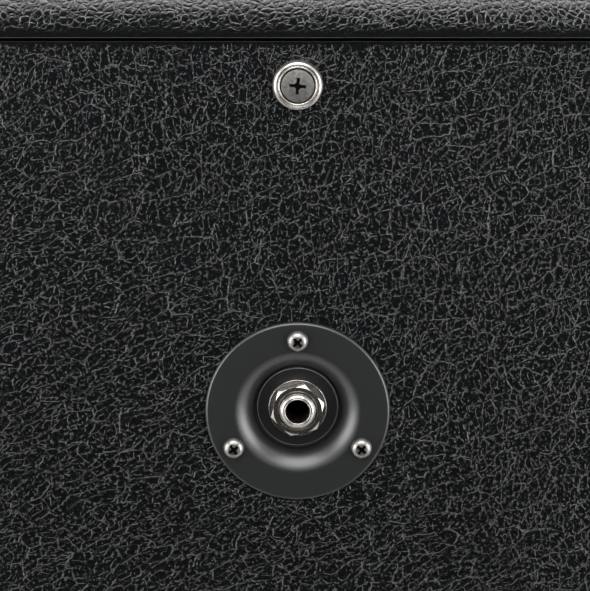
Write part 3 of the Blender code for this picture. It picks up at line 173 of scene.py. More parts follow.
# Each softbox: where it stands, what it points at, its two sizes in metres and its watts.
SOFTBOXES = {
    "softbox_top": ((0.05, 1.00, 1.46), (0.0, 0.20, 0.50), (1.10, 0.90), 14.0),
    "softbox_left": ((1.06, 0.92, 0.58), (0.0, 0.20, 0.48), (0.80, 0.90), 12.0),
    "softbox_right": ((-1.06, 0.92, 0.55), (0.0, 0.20, 0.48), (0.80, 0.90), 12.5),
    "softbox_front": ((-0.75, -1.90, 1.50), (0.0, -0.20, 0.32), (1.30, 1.00), 30.0),
}
for name, (at, towards, size, watts) in SOFTBOXES.items():
    lamp = bpy.data.lights.new(name, "AREA")
    lamp.shape = "RECTANGLE"
    lamp.size, lamp.size_y = size
    lamp.energy = watts
    softbox = add_object(name, lamp)
    softbox.location = at
    aim = Vector(towards) - Vector(at)
    softbox.rotation_euler = aim.to_track_quat("-Z", "Y").to_euler()
    softbox.visible_camera = False


# Shell covering: PVC-coated cloth, glued round the boards and turned in at both mouths. The embossed
# leather grain gives dark flat cells between fine bright creases; it is stretched smooth on the folds.
# First half of a mouth's opening, of the box's width and height, and of its depth.
MOUTH = 0.2790
BOX_HALF = 0.300
HALF_DEPTH = 0.200
BOX_MIDDLE = 0.320
EDGE_ROUND = 0.016
EDGE_STEPS = 14
LIP_ROUND = 0.00105
COVER_THICK = 0.0008
REAR_TURN_IN = 0.0173
FRONT_TURN_IN = 0.0231
HANDLE_Z = 0.340
HANDLE_HOLE = (0.081, 0.054)

# The grain in mm: the cells on the panel and on the shell, the folds and specks across them, and half
# the width of the creases round each.
CELL = 2.4
CREASE = 0.105
PEBBLE = 1.6
PEBBLE_CREASE = 0.5
FOLD = 6.0
FOLD_CREASE = 0.14
SPECK = 0.75
SPECK_CREASE = 0.10
GRAIN_TURN = math.radians(28)
# The panel's grain turns upright between these heights in mm, counted less the way to the left as
# seen from behind.
UPRIGHT_FROM = 490.0
UPRIGHT_TO = 535.0
# For cells, folds and specks: the depth in mm, the size in mm of the areas where they are strong or
# faint, and how much the faint ones keep, as a share of the depth. Below 0, some areas stay bare.
PANEL_RELIEF = ((0.12, 0.95, -0.22), (0.125, 1.6, 0.0), (0.07, 0.9, -1.2))
SHELL_RELIEF = ((0.14, 0.95, 0.5), (0.04, 1.6, 0.0), (0.02, 0.9, -1.2))


def creases(tree, place, size, wide, flat):
    """0 along the creases between cells and 1 on the cells; their size and half width in mm."""
    cells = add_node(
        tree,
        "TexVoronoi",
        {"Vector": place, "Scale": 1 / size},
        feature="DISTANCE_TO_EDGE",
        voronoi_dimensions="2D" if flat else "3D",
    )
    return add_node(tree, "MapRange", {"Value": cells, "From Max": wide / size})


def patchy(tree, place, size, low, high):
    """Strong and faint areas of about the given size in mm, between two numbers."""
    noise = add_node(tree, "TexNoise", {"Vector": place, "Scale": 1 / size, "Detail": 3.0})
    return add_node(
        tree,
        "MapRange",
        {"Value": noise, "From Min": 0.36, "From Max": 0.64, "To Min": low, "To Max": high},
    )


def grained_vinyl(name, flat, gloss, smooth_from, smooth_to):
    """Black leather-grained vinyl; the grain fades out between two distances from the box's axis."""
    material, tree, shader, mm = new_finish(name, "#0B0C0C", 0.27)
    apart = add_node(tree, "SeparateXYZ", {0: mm}).outputs
    place = add_node(tree, "CombineXYZ", {"X": apart["X"], "Y": apart["Z"]}) if flat else mm
    # Two noises let the cells wander, each by its own size and sway in mm.
    for size, sway in ((20.0, 9.0), (1.3, 1.0)):
        wander = add_node(tree, "TexNoise", {"Vector": place, "Scale": 1 / size, "Detail": 4.0})
        place = add_node(
            tree,
            "VectorMath",
            {0: wander.outputs["Color"], 1: (sway, sway, sway), 2: place},
            operation="MULTIPLY_ADD",
        )
    turn = (0, 0, -GRAIN_TURN) if flat else (0, GRAIN_TURN, 0)
    stretch = (1.7, 0.8, 0.8) if flat else (1.2, 0.95, 0.95)
    slanting = add_node(
        tree, "Mapping", {"Vector": place, "Rotation": turn, "Scale": stretch}, vector_type="TEXTURE"
    )
    if flat:
        # Higher on the panel the grain runs upright.
        upright = add_node(
            tree, "Mapping", {"Vector": place, "Scale": (0.8, 1.7, 1.0)}, vector_type="TEXTURE"
        )
        swayed = add_node(tree, "SeparateXYZ", {0: place}).outputs
        height = add_node(tree, "Math", {0: swayed["Y"], 1: swayed["X"]}, operation="SUBTRACT")
        raised = add_node(
            tree,
            "MapRange",
            {"Value": height, "From Min": UPRIGHT_FROM, "From Max": UPRIGHT_TO},
            interpolation_type="SMOOTHSTEP",
        )
        lying = creases(tree, slanting, CELL, CREASE, flat)
        standing = creases(tree, upright, CELL * 1.1, CREASE, flat)
        cell = add_node(tree, "Mix", {"Factor": raised, "A": lying, "B": standing}, data_type="FLOAT")
    else:
        # Stretched round the shell's edges the cells stand up as rounded pebbles.
        cell = creases(tree, slanting, PEBBLE, PEBBLE_CREASE, flat)
        rest = add_node(tree, "Math", {0: 2.0, 1: cell}, operation="SUBTRACT")
        cell = add_node(tree, "Math", {0: rest, 1: cell}, operation="MULTIPLY")
    fold = creases(tree, slanting, FOLD, FOLD_CREASE, flat)
    speck = creases(tree, place, SPECK, SPECK_CREASE, flat)
    relief = 0.0
    layers = zip((cell, fold, speck), PANEL_RELIEF if flat else SHELL_RELIEF)
    for part, (depth, size, faint) in layers:
        amount = patchy(tree, mm, size, faint * depth, depth)
        amount = add_node(tree, "Math", {0: amount, 1: 0.0}, operation="MAXIMUM")
        # Only the creases sink, so that the cells stay flat.
        sunk = add_node(tree, "Math", {0: part, 1: 1.0}, operation="SUBTRACT")
        deep = add_node(tree, "Math", {0: sunk, 1: amount}, operation="MULTIPLY")
        relief = add_node(tree, "Math", {0: deep, 1: relief}, operation="ADD")
    # How far a point is from the box's front-to-back axis, counted square, tells the fold at a mouth.
    across = add_node(tree, "Math", {0: apart["X"]}, operation="ABSOLUTE")
    level = add_node(tree, "Math", {0: apart["Z"], 1: BOX_MIDDLE * 1000}, operation="SUBTRACT")
    level = add_node(tree, "Math", {0: level}, operation="ABSOLUTE")
    square = add_node(tree, "Math", {0: across, 1: level}, operation="MAXIMUM")
    faded = {"From Min": smooth_from * 1000, "From Max": smooth_to * 1000, "To Min": 0.1}
    kept = add_node(tree, "MapRange", {"Value": square, **faded}, interpolation_type="SMOOTHSTEP")
    # The roller pressed one side of the cloth a little deeper.
    pressing = {"From Min": -60.0, "From Max": 60.0, "To Min": 1.05, "To Max": 0.85}
    pressed = add_node(tree, "MapRange", {"Value": apart["X"], **pressing})
    relief = add_node(tree, "Math", {0: relief, 1: pressed}, operation="MULTIPLY")
    grain = add_node(tree, "Bump", {"Height": relief, "Distance": 0.001, "Strength": kept})
    # On the panel the creases are a greyer black than the cells, partly a bloom of dust and partly a
    # painted highlight for the light that catches them. The black of both vinyls drifts a little to
    # blue.
    tint = add_node(tree, "TexNoise", {"Vector": mm, "Scale": 0.045, "Detail": 1.0})
    cell_black = add_node(
        tree, "Mix", {"Factor": tint, "A": linear("#080A09"), "B": linear("#09090C")}, data_type="RGBA"
    )
    crease_bloom_and_painted_highlight = linear("#171818" if flat else "#080908")
    clean = add_node(tree, "Math", {0: cell, 1: fold}, operation="MINIMUM")
    dull = add_node(tree, "Math", {0: clean, 1: patchy(tree, mm, 2.5, 0.0, 0.6)}, operation="MAXIMUM")
    black = add_node(
        tree, "Mix", {"Factor": dull, "A": crease_bloom_and_painted_highlight, "B": cell_black}, data_type="RGBA"
    )
    haze = patchy(tree, mm, 0.6, 0.17, 0.23)
    feed(tree, shader, {"Base Color": black, "Roughness": haze, "Normal": grain})
    feed(tree, shader, {"Specular IOR Level": gloss})
    return material


shell_vinyl = grained_vinyl("grained_vinyl_over_shell", False, 0.86, MOUTH + 0.0002, MOUTH + 0.0046)


def to_mesh(name, bm):
    """The bmesh as a mesh without doubled points, its faces turned outwards."""
    bmesh.ops.remove_doubles(bm, verts=bm.verts, dist=0.000002)
    bmesh.ops.recalc_face_normals(bm, faces=bm.faces)
    mesh = bpy.data.meshes.new(name)
    bm.to_mesh(mesh)
    bm.free()
    return mesh


def add_piece(name, mesh, material, body="cabinet", degrees=38):
    """A piece of the scene, shaded smooth up to an angle, riding on a body and made of a material."""
    piece = add_object(name, mesh, material)
    mesh.shade_smooth()
    mesh.set_sharp_from_angle(angle=math.radians(degrees))
    weighed = piece.modifiers.new("flat_faces", "WEIGHTED_NORMAL")
    weighed.keep_sharp = True
    weighed.weight = 100
    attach(piece, body)
    return piece


def applied(shape, *tools):
    """An object's mesh with its modifiers applied; the object and its tools are then removed."""
    bpy.context.view_layer.update()
    graph = bpy.context.evaluated_depsgraph_get()
    result = bpy.data.meshes.new_from_object(shape.evaluated_get(graph))
    for used in (shape, *tools):
        bpy.data.objects.remove(used, do_unlink=True)
    return result


def thickened(mesh, thickness, offset=-1.0):
    """An open surface given a thickness, inwards or, with an offset of 1, outwards."""
    shape = add_object("blank", mesh)
    thick = shape.modifiers.new("thickness", "SOLIDIFY")
    thick.thickness = thickness
    thick.offset = offset
    thick.use_even_offset = True
    return applied(shape)


def cut_mesh(mesh, cutters, operation="DIFFERENCE"):
    """The mesh with each cutter taken out of it, joined to it, or left of it where both are."""
    shape = add_object("blank", mesh)
    tools = [add_object("cutter", cutter) for cutter in cutters]
    for tool in tools:
        step = shape.modifiers.new("cut", "BOOLEAN")
        step.operation = operation
        step.solver = "EXACT"
        step.object = tool
    return applied(shape, *tools)


def block(start, end, rounding=0.0, steps=3, missing=None):
    """A box between two corners with its edges rounded, and one of its sides left open if asked."""
    low, high = zip(*(sorted(pair) for pair in zip(start, end)))
    bm = bmesh.new()
    bmesh.ops.create_cube(bm, size=1.0)
    size = [top - bottom for bottom, top in zip(low, high)]
    bmesh.ops.scale(bm, vec=size, verts=bm.verts)
    middle = [(top + bottom) / 2 for bottom, top in zip(low, high)]
    bmesh.ops.translate(bm, vec=middle, verts=bm.verts)
    bm.normal_update()
    edges = list(bm.edges)
    if missing:
        gone = max(bm.faces, key=lambda face: face.normal.dot(Vector(missing)))
        edges = [edge for edge in edges if gone not in edge.link_faces]
    if rounding:
        bmesh.ops.bevel(
            bm,
            geom=edges,
            offset=rounding,
            offset_type="OFFSET",
            segments=steps,
            profile=0.5,
            affect="EDGES",
        )
    if missing:
        bm.normal_update()
        gone = max(bm.faces, key=lambda face: face.calc_center_median().dot(Vector(missing)))
        bmesh.ops.delete(bm, geom=[gone], context="FACES_ONLY")
    return bm


def arc(centre, radius, start, end, steps):
    """Points of an arc in a plane, from one angle in degrees to another."""
    turns = [math.radians(start + (end - start) * step / steps) for step in range(steps + 1)]
    return [(centre[0] + radius * math.cos(t), centre[1] + radius * math.sin(t)) for t in turns]


def rounded_hoop(half_width, half_height, corner, steps):
    """A rectangle with round corners, as points about its middle."""
    hoop = []
    for quarter, (x, z) in enumerate(((1, 1), (-1, 1), (-1, -1), (1, -1))):
        centre = (x * (half_width - corner), z * (half_height - corner))
        hoop += arc(centre, corner, 90 * quarter, 90 * quarter + 90, steps)
    return hoop


def join_hoops(bm, hoops):
    """Faces all round between each hoop of points and the next."""
    for first, second in zip(hoops, hoops[1:]):
        for at in range(len(first)):
            after = (at + 1) % len(first)
            bm.faces.new((first[at], first[after], second[after], second[at]))


def mouth_outline(turned_in):
    """From the end of the turned-in vinyl, over the lip, and round the box's edge to its side."""
    inset = BOX_HALF - MOUTH
    outline = [(inset, HALF_DEPTH - turned_in)]
    outline += arc((inset - LIP_ROUND, HALF_DEPTH - LIP_ROUND), LIP_ROUND, 0, 90, 6)
    outline += arc((EDGE_ROUND, HALF_DEPTH - EDGE_ROUND), EDGE_ROUND, 90, 180, EDGE_STEPS)
    return outline


shell_outline = mouth_outline(REAR_TURN_IN)
shell_outline += [(inset, -y) for inset, y in reversed(mouth_outline(FRONT_TURN_IN))]
bm = bmesh.new()
hoops = []
for inset, y in shell_outline:
    half = BOX_HALF - inset
    hoop = rounded_hoop(half, half, max(EDGE_ROUND - inset, 0.0), EDGE_STEPS)
    hoops.append([bm.verts.new((x, y, BOX_MIDDLE + z)) for x, z in hoop])
join_hoops(bm, hoops)
shell_mesh = thickened(to_mesh("shell_vinyl", bm), COVER_THICK)
handle_holes = []
for side in (-1, 1):
    inner = (side * 0.26, -HANDLE_HOLE[0], HANDLE_Z - HANDLE_HOLE[1])
    outer = (side * 0.31, HANDLE_HOLE[0], HANDLE_Z + HANDLE_HOLE[1])
    handle_holes.append(to_mesh("handle_hole", block(inner, outer)))
shell_piece = add_piece(
    "shell_vinyl", cut_mesh(shell_mesh, handle_holes), shell_vinyl
)
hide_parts("shell_covering")


# Rear panel covering: the same vinyl wrapped over the panel board and round its edges, with a round
# hole for the dish. Near the seam it is pulled smooth.
PANEL_FACE = 0.198
PANEL_HALF = MOUTH - 0.0008
PANEL_FRONT = 0.1819
PANEL_EDGE = 0.00015
JACK_Z = 0.500
DISH_HOLE = 0.0173
REARWARD = (0, 1, 0)
panel_vinyl = grained_vinyl("grained_vinyl_over_panel", True, 0.68, PANEL_HALF, PANEL_HALF - 0.0022)


def turned_mesh(name, profile, place, axis, steps, turn=0.0):
    """A lathe: (radius, height) points swept about an axis that starts at a place."""
    bm = bmesh.new()
    lie = Vector((0, 0, 1)).rotation_difference(Vector(axis)).to_matrix()
    rings = []
    for radius, height in profile:
        count = steps if radius > 0 else 1
        angles = [turn + 2 * math.pi * step / steps for step in range(count)]
        points = [(radius * math.cos(a), radius * math.sin(a), height) for a in angles]
        rings.append([bm.verts.new(lie @ Vector(point) + Vector(place)) for point in points])
    if profile[0][0] > 0:
        rings.append(rings[0])
    for first, second in zip(rings, rings[1:]):
        for at in range(steps):
            corners = []
            for ring, index in ((first, at), (first, at + 1), (second, at + 1), (second, at)):
                corner = ring[index % len(ring)]
                if corner not in corners:
                    corners.append(corner)
            if len(corners) > 2:
                bm.faces.new(corners)
    return to_mesh(name, bm)


panel_low = (-PANEL_HALF, PANEL_FRONT, BOX_MIDDLE - PANEL_HALF)
panel_high = (PANEL_HALF, PANEL_FACE, BOX_MIDDLE + PANEL_HALF)
panel_sheet = to_mesh("panel_vinyl", block(panel_low, panel_high, PANEL_EDGE, 6, (0, -1, 0)))
hole_outline = [(0, -0.008), (DISH_HOLE, -0.008), (DISH_HOLE, 0.012), (0, 0.012)]
hole = turned_mesh("dish_hole", hole_outline, (0, PANEL_FACE, JACK_Z), REARWARD, 96)
panel_mesh = cut_mesh(thickened(panel_sheet, COVER_THICK), [hole])
panel_piece = add_piece("rear_panel_vinyl", panel_mesh, panel_vinyl)
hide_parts("rear_panel_covering")


# Rear panel screws: ten zinc-plated screws in nickel-plated cup washers, 12 mm in from the mouth.
# Satin rolled washers with a duller, slightly domed head and a cross recess.
def eased(points, radius, steps=3):
    """An outline of (radius, height) points with its corners rounded off. A third number sets one."""
    made = []
    for at, point in enumerate(points):
        ease = point[2] if len(point) > 2 else radius
        here = Vector(point[:2])
        if ease == 0:
            made.append(tuple(here))
            continue
        back = Vector(points[at - 1][:2]) - here
        on = Vector(points[(at + 1) % len(points)][:2]) - here
        start = here + back.normalized() * min(ease, back.length * 0.48)
        end = here + on.normalized() * min(ease, on.length * 0.48)
        for step in range(steps + 1):
            t = step / steps
            made.append(tuple((1 - t) ** 2 * start + 2 * t * (1 - t) * here + t**2 * end))
    return made


def mottled_finish(
    name,
    colour,
    roughness,
    per_mm,
    detail,
    tones=None,
    haze=None,
    span=(0.3, 0.7),
    relief=0.0,
    metallic=0.0,
    stretch=None,
    swirl=0.0,
):
    """A finish that one noise leads, of so many lumps per mm. It drifts between two tones, and
    between two roughnesses at the noise's values in span, and stands up by a relief in mm."""
    finish = new_finish(name, colour, roughness)
    material, tree, shader, place = finish
    if stretch:
        place = add_node(tree, "Mapping", {"Vector": place, "Scale": stretch})
    lumps = {"Vector": place, "Scale": per_mm, "Detail": detail, "Distortion": swirl}
    noise = add_node(tree, "TexNoise", lumps)
    if tones:
        dark, light = (linear(tone) for tone in tones)
        tone = add_node(tree, "Mix", {"Factor": noise, "A": dark, "B": light}, data_type="RGBA")
        feed(tree, shader, {"Base Color": tone})
    if haze:
        reach = {"From Min": span[0], "From Max": span[1], "To Min": haze[0], "To Max": haze[1]}
        feed(tree, shader, {"Roughness": add_node(tree, "MapRange", {"Value": noise, **reach})})
    if relief:
        bump = add_node(tree, "Bump", {"Height": noise, "Distance": relief / 1000})
        feed(tree, shader, {"Normal": bump})
    feed(tree, shader, {"Metallic": metallic})
    return finish


# Nickel over brass that was only tumbled, not buffed: softer reflections and a faint warm cast.
satin_nickel = mottled_finish(
    "nickel_plated_satin",
    "#BDB8B2",
    roughness=0.24,
    per_mm=0.35,
    detail=2.0,
    tones=("#AAA49E", "#CFCBC6"),
    haze=(0.24, 0.28),
    relief=0.004,
    metallic=1.0,
)[0]

# Clear passivated zinc over a cold-headed blank: grey, with a soft mottle and fine pits.
dull_zinc, tree, shader, mm = mottled_finish(
    "zinc_plated_screw_head",
    "#8F8E8B",
    roughness=0.34,
    per_mm=1.4,
    detail=4.0,
    tones=("#6E6C69", "#A19F9B"),
    haze=(0.38, 0.54),
    metallic=1.0,
)
pits = add_node(tree, "TexNoise", {"Vector": mm, "Scale": 7.0, "Detail": 2.0})
feed(tree, shader, {"Normal": add_node(tree, "Bump", {"Height": pits, "Distance": 0.00002})})

# Painted shade: a near-black finish for the faces down in a cross recess, where shade falls.
recess_shade, tree, shader, mm = mottled_finish(
    "near_black_painted_recess_shade",
    "#060606",
    roughness=0.8,
    per_mm=4.0,
    detail=3.0,
    tones=("#040404", "#0B0A09"),
    relief=0.03,
)
feed(tree, shader, {"Specular IOR Level": 0.1})


def recess_cutters(place, axis, crown, reach, half_width, depth, turn):
    """The two tapered arms of a cross recess and its square core, sunk from a head's crown."""
    lie = Vector((0, 0, 1)).rotation_difference(Vector(axis)).to_matrix().to_4x4()
    made = []
    core = 0.38 * reach
    for arm, long, thick in (
        (0.0, reach, half_width),
        (math.pi / 2, reach, half_width),
        (math.pi / 4, core, core),
    ):
        bm = bmesh.new()
        corners = []
        for height, grow in ((crown + depth, 1.35), (crown - depth, 0.62)):
            for x, y in ((-1, -1), (1, -1), (1, 1), (-1, 1)):
                wide = thick * (0.8 + 0.35 * grow)
                corners.append(bm.verts.new((x * long * grow, y * wide, height)))
        bm.faces.new(corners[:4])
        bm.faces.new(reversed(corners[4:]))
        for at in range(4):
            after = (at + 1) % 4
            bm.faces.new((corners[at], corners[at + 4], corners[after + 4], corners[after]))
        place_it = Matrix.Translation(place) @ lie @ Matrix.Rotation(turn + arm, 4, "Z")
        bmesh.ops.transform(bm, matrix=place_it, verts=bm.verts)
        made.append(to_mesh("recess_arm", bm))
    return made


def add_screw(name, outline, place, axis, recess, turn, material, steps):
    """A turned screw, with a cross recess of a reach, half width and depth sunk in its head."""
    crown = outline[0][1]
    reach, _, depth = recess
    blank = turned_mesh("screw", outline, place, axis, steps)
    cutters = recess_cutters(place, axis, crown, *recess, turn)
    screw = add_piece(name, cut_mesh(blank, cutters), material)
    # The faces down in the recess take the near-black finish: painted shade.
    screw.data.materials.append(recess_shade)
    stand = Vector((0, 0, 1)).rotation_difference(Vector(axis)).inverted()
    for face in screw.data.polygons:
        at = stand @ (face.center - Vector(place))
        sunk = math.hypot(at.x, at.y) < 1.3 * reach and at.z > crown - 1.02 * depth
        if sunk and ((stand @ face.normal).z < 0.85 or at.z < crown - 0.98 * depth):
            face.material_index = 1
    return screw


# The washer's outline, from inside its mouth over the rolled crest and down to the vinyl.
cup_outline = eased(
    [
        (0.00330, 0.0007),
        (0.00446, 0.00150, 0.0001),
        (0.00460, 0.00198, 0.0002),
        (0.00483, 0.00214, 0.0002),
        (0.00505, 0.00198, 0.0002),
        (0.00514, 0.00174, 0.0001),
        (0.00540, 0.00176, 0.0001),
        (0.00552, 0.00208, 0.0001),
        (0.00592, 0.00192, 0.0004),
        (0.00630, 0.00152, 0.0004),
        (0.00650, 0.00090, 0.0005),
        (0.00654, 0.00003),
        (0.00620, 0.00003),
        (0.00560, 0.0012, 0.0004),
        (0.00480, 0.0013, 0.0004),
        (0.00330, 0.0004),
    ],
    0.00008,
    4,
)
HEAD_RADIUS = 0.00424
HEAD_CROWN = 0.0022
HEAD_DOME = 0.00026
HEAD_STEPS = 8
REAR_RECESS = (0.0022, 0.00036, 0.0012)
head_outline = [
    (HEAD_RADIUS * step / HEAD_STEPS, HEAD_CROWN - HEAD_DOME * (step / HEAD_STEPS) ** 2)
    for step in range(HEAD_STEPS)
]
head_outline += [
    (HEAD_RADIUS - 0.0001, 0.00193),
    (HEAD_RADIUS, 0.00180),
    (0.00210, 0.0002),
    (0.00210, -0.0208),
    (0.0, -0.032),
]
SCREW_INSET = 0.2670
SCREW_SPREAD = 0.2500
SCREW_HIGH = 0.09
rear_places = {"top": (0.0, SCREW_INSET), "bottom": (0.0, -SCREW_INSET)}
for side, x in (("left", -1), ("right", 1)):
    for end, z in (("bottom", -1), ("top", 1)):
        rear_places[f"{end}_{side}"] = (x * SCREW_SPREAD, z * SCREW_INSET)
for side, x in (("left", -1), ("right", 1)):
    for end, z in (("low", -1), ("high", 1)):
        rear_places[f"{side}_{end}"] = (x * SCREW_INSET, z * SCREW_HIGH)
for number, (name, (x, z)) in enumerate(rear_places.items()):
    place = (x, PANEL_FACE, BOX_MIDDLE + z)
    cup_mesh = turned_mesh("cup_washer", cup_outline, place, REARWARD, 64)
    cup = add_piece(f"cup_washer_{name}_rolled", cup_mesh, satin_nickel)
    screw = add_screw(
        f"rear_screw_{name}_crossed",
        head_outline,
        place,
        REARWARD,
        REAR_RECESS,
        math.radians(-5 + 37 * number),
        dull_zinc,
        steps=56,
    )
    if name == "top":
        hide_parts("cup_washer_top")
        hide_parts("rear_screw_top")


# Jack plate: a disc of 1 mm steel pressed into a round bowl with a flat floor, powder coated satin
# black. The coat is smooth with a fine orange peel; three pan-head screws hold it.
GAP = 0.0003
SHEET = 0.0010
FLANGE_TOP = GAP + SHEET
PLATE_RADIUS = 0.02445
PLATE_EDGE = 0.0008
DISH_DEPTH = 0.0050
BOWL_MOUTH = 0.0172
ROLL = 0.0032
WALL_ROLL = 0.0070
BUSH_HOLE = 0.00506
SEAT_FLAT = 0.0103
SEAT_EASE = 0.0009

satin_steel, tree, shader, mm = new_finish("powder_coated_steel_satin", "#161718", 0.34)
peel = add_node(tree, "TexNoise", {"Vector": mm, "Scale": 1.3, "Detail": 3.0})
coat_tone = add_node(
    tree, "Mix", {"Factor": peel, "A": linear("#121313"), "B": linear("#161717")}, data_type="RGBA"
)
# Painted shade: down in the bowl round the seat, where shade falls, the coat is painted a deeper
# black. It fades between these distances in mm from the jack's axis.
PAINTED_SHADE_FULL_TO = 11.2
PAINTED_SHADE_ENDS_AT = 13.0
level_place = add_node(tree, "VectorMath", {0: mm, 1: (1, 0, 1)}, operation="MULTIPLY")
from_jack = add_node(
    tree, "VectorMath", {0: level_place, 1: (0, 0, JACK_Z * 1000)}, operation="DISTANCE"
)
shade_fading = {"From Min": PAINTED_SHADE_FULL_TO, "From Max": PAINTED_SHADE_ENDS_AT}
shade_fade = add_node(tree, "MapRange", {"Value": from_jack, **shade_fading})
coat_with_painted_shade = add_node(
    tree, "Mix", {"Factor": shade_fade, "A": linear("#050505"), "B": coat_tone}, data_type="RGBA"
)
dust = add_node(tree, "TexNoise", {"Vector": mm, "Scale": 6.0, "Detail": 2.0})
dusting = {"From Min": 0.3, "From Max": 0.7, "To Min": 0.31, "To Max": 0.41}
coat_haze = add_node(tree, "MapRange", {"Value": dust, **dusting})
coat_skin = add_node(tree, "Bump", {"Height": peel, "Distance": 0.000012})
feed(tree, shader, {"Base Color": coat_with_painted_shade, "Roughness": coat_haze, "Normal": coat_skin})
feed(tree, shader, {"Specular IOR Level": 1.0})

# A painted highlight: a pale grey line on the eased edge of the seat, where the edge catches light.
seat_edge_painted_highlight = mottled_finish(
    "powder_coat_painted_edge_highlight",
    "#4B4C4C",
    roughness=0.42,
    per_mm=0.35,
    detail=3.0,
    tones=("#303131", "#747575"),
)[0]

# Small screws plated in the barrel: knocked about, so the gloss is broken up in blotches of 0.5 mm.
dull_nickel = mottled_finish(
    "nickel_plated_screw_dull",
    "#B9B7B3",
    roughness=0.3,
    per_mm=1.8,
    detail=5.0,
    tones=("#6B6A67", "#B4B2AE"),
    haze=(0.44, 0.24),
    span=(0.35, 0.65),
    relief=0.05,
    metallic=1.0,
)[0]

# From the flange the wall rolls over to 18 degrees, then slower to 78, and ends in a groove round a
# flat seat whose edge is eased: (radius, fall, slope).
bowl = []
for step in range(7):
    slope = math.radians(18 * step / 6)
    bowl.append((BOWL_MOUTH - ROLL * math.sin(slope), ROLL * (1 - math.cos(slope)), slope))
rolled, fallen, started = bowl[-1]
for step in range(1, 21):
    slope = math.radians(18 + 60 * step / 20)
    radius = rolled - WALL_ROLL * (math.sin(slope) - math.sin(started))
    bowl.append((radius, fallen + WALL_ROLL * (math.cos(started) - math.cos(slope)), slope))
wall_foot = bowl[-1][0]
seat = FLANGE_TOP - DISH_DEPTH
plate_outline = [(BUSH_HOLE, seat)]
plate_outline += arc((SEAT_FLAT, seat - SEAT_EASE), SEAT_EASE, 90, 56, 5)
plate_outline += [(plate_outline[-1][0] + 0.00003, seat - 0.0007), (wall_foot - 0.0001, seat - 0.0008)]
plate_outline += [(radius, FLANGE_TOP - fall) for radius, fall, _ in reversed(bowl)]
plate_outline += arc((PLATE_RADIUS - PLATE_EDGE, FLANGE_TOP - PLATE_EDGE), PLATE_EDGE, 90, 0, 7)
plate_outline += [(PLATE_RADIUS, GAP)]
plate_outline += [
    (radius + SHEET * math.sin(slope), FLANGE_TOP - fall - SHEET * math.cos(slope))
    for radius, fall, slope in bowl
]
plate_outline += [(BUSH_HOLE, seat - 1.6 * SHEET)]
plate_mesh = turned_mesh("jack_plate", plate_outline, (0, PANEL_FACE, JACK_Z), REARWARD, 128)
plate = add_piece("jack_plate_pressed", plate_mesh, satin_steel)
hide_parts("jack_plate")
# The faces on the seat's eased edge take the pale grey: a painted highlight.
plate.data.materials.append(seat_edge_painted_highlight)
for face in plate.data.polygons:
    from_axis = math.hypot(face.center.x, face.center.z - JACK_Z)
    on_edge = SEAT_FLAT + 0.00031 < from_axis < SEAT_FLAT + 0.00053
    if on_edge and face.center.y > PANEL_FACE + seat - 0.0003:
        face.material_index = 1


def pan_head(radius, crown, shank, length, straight=0.7):
    """A pan head over a plain shank, straight for a share of its length and then run to a point."""
    outline = [(0.0, crown)]
    for angle in range(9, 90, 9):
        side, rise = math.sin(math.radians(angle)), math.cos(math.radians(angle))
        outline.append((radius * side**0.8, crown * rise**0.75))
    outline += [(radius, 0.00006), (radius - 0.0001, 0.0), (shank, 0.0)]
    return [*outline, (shank, -length * straight), (0.0, -length)]


PLATE_SCREW_CIRCLE = 0.0196
plate_screw_outline = pan_head(0.0028, 0.0020, 0.0013, 0.012, 0.65)
for name, degrees, turned in (("top", 90, 42), ("left", 330, 35), ("right", 210, 50)):
    angle = math.radians(degrees)
    screw = add_screw(
        f"plate_screw_{name}_crossed",
        plate_screw_outline,
        (
            PLATE_SCREW_CIRCLE * math.cos(angle),
            PANEL_FACE + FLANGE_TOP + GAP,
            JACK_Z + PLATE_SCREW_CIRCLE * math.sin(angle),
        ),
        REARWARD,
        (0.0016, 0.00030, 0.0011),
        math.radians(turned),
        dull_nickel,
        steps=48,
    )
    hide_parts(f"jack_plate_screw_{name}")


# Jack: a quarter inch socket with a threaded bushing through the plate, a washer and a hex nut, all
# nickel plated. The frame behind is stamped, with two posts for its contacts.
JACK_PLACE = (0, PANEL_FACE + seat, JACK_Z)
BUSH_TOP = 0.0050
BUSH = 0.00482
BORE = 0.0032
THREAD_DEPTH = 0.00035
THREAD_PITCH = 0.0006
FRAME_RADIUS = 0.0100
bush_rim = [
    (BORE, BUSH_TOP - 0.00035, 0.00015),
    (BORE + 0.00022, BUSH_TOP - 0.00012, 0.00015),
    (BORE + 0.00042, BUSH_TOP - 0.0003, 0.00006),
    (BORE + 0.00052, BUSH_TOP - 0.0003, 0.00004),
    (BORE + 0.00066, BUSH_TOP, 0.00012),
    (BUSH - 0.00042, BUSH_TOP - 0.00030, 0.0003),
    (BUSH, BUSH_TOP - 0.00095, 0.0003),
]
bush_thread = [
    (BUSH - THREAD_DEPTH * (turn % 2), BUSH_TOP - 0.0013 - turn * THREAD_PITCH / 2, 0.0001)
    for turn in range(5)
]
frame_back = [
    (BUSH, -0.0013, 0),
    (FRAME_RADIUS, -0.0013, 0.0002),
    (FRAME_RADIUS, -0.0025, 0.0002),
    (BORE, -0.0025, 0),
]
bush_outline = eased([*bush_rim, *bush_thread, *frame_back], 0.0001, 4)
bushing = turned_mesh("bushing", bush_outline, JACK_PLACE, REARWARD, 72)
posts = []
for side in (-1, 1):
    inner = (side * 0.0052, PANEL_FACE - 0.0140, JACK_Z - 0.0035)
    outer = (side * 0.0097, PANEL_FACE - 0.0055, JACK_Z + 0.0035)
    posts.append(to_mesh("post", block(inner, outer, 0.0004)))
jack = add_piece(
    "jack_bushing_threaded", cut_mesh(bushing, posts, "UNION"), satin_nickel
)
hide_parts("jack_frame")

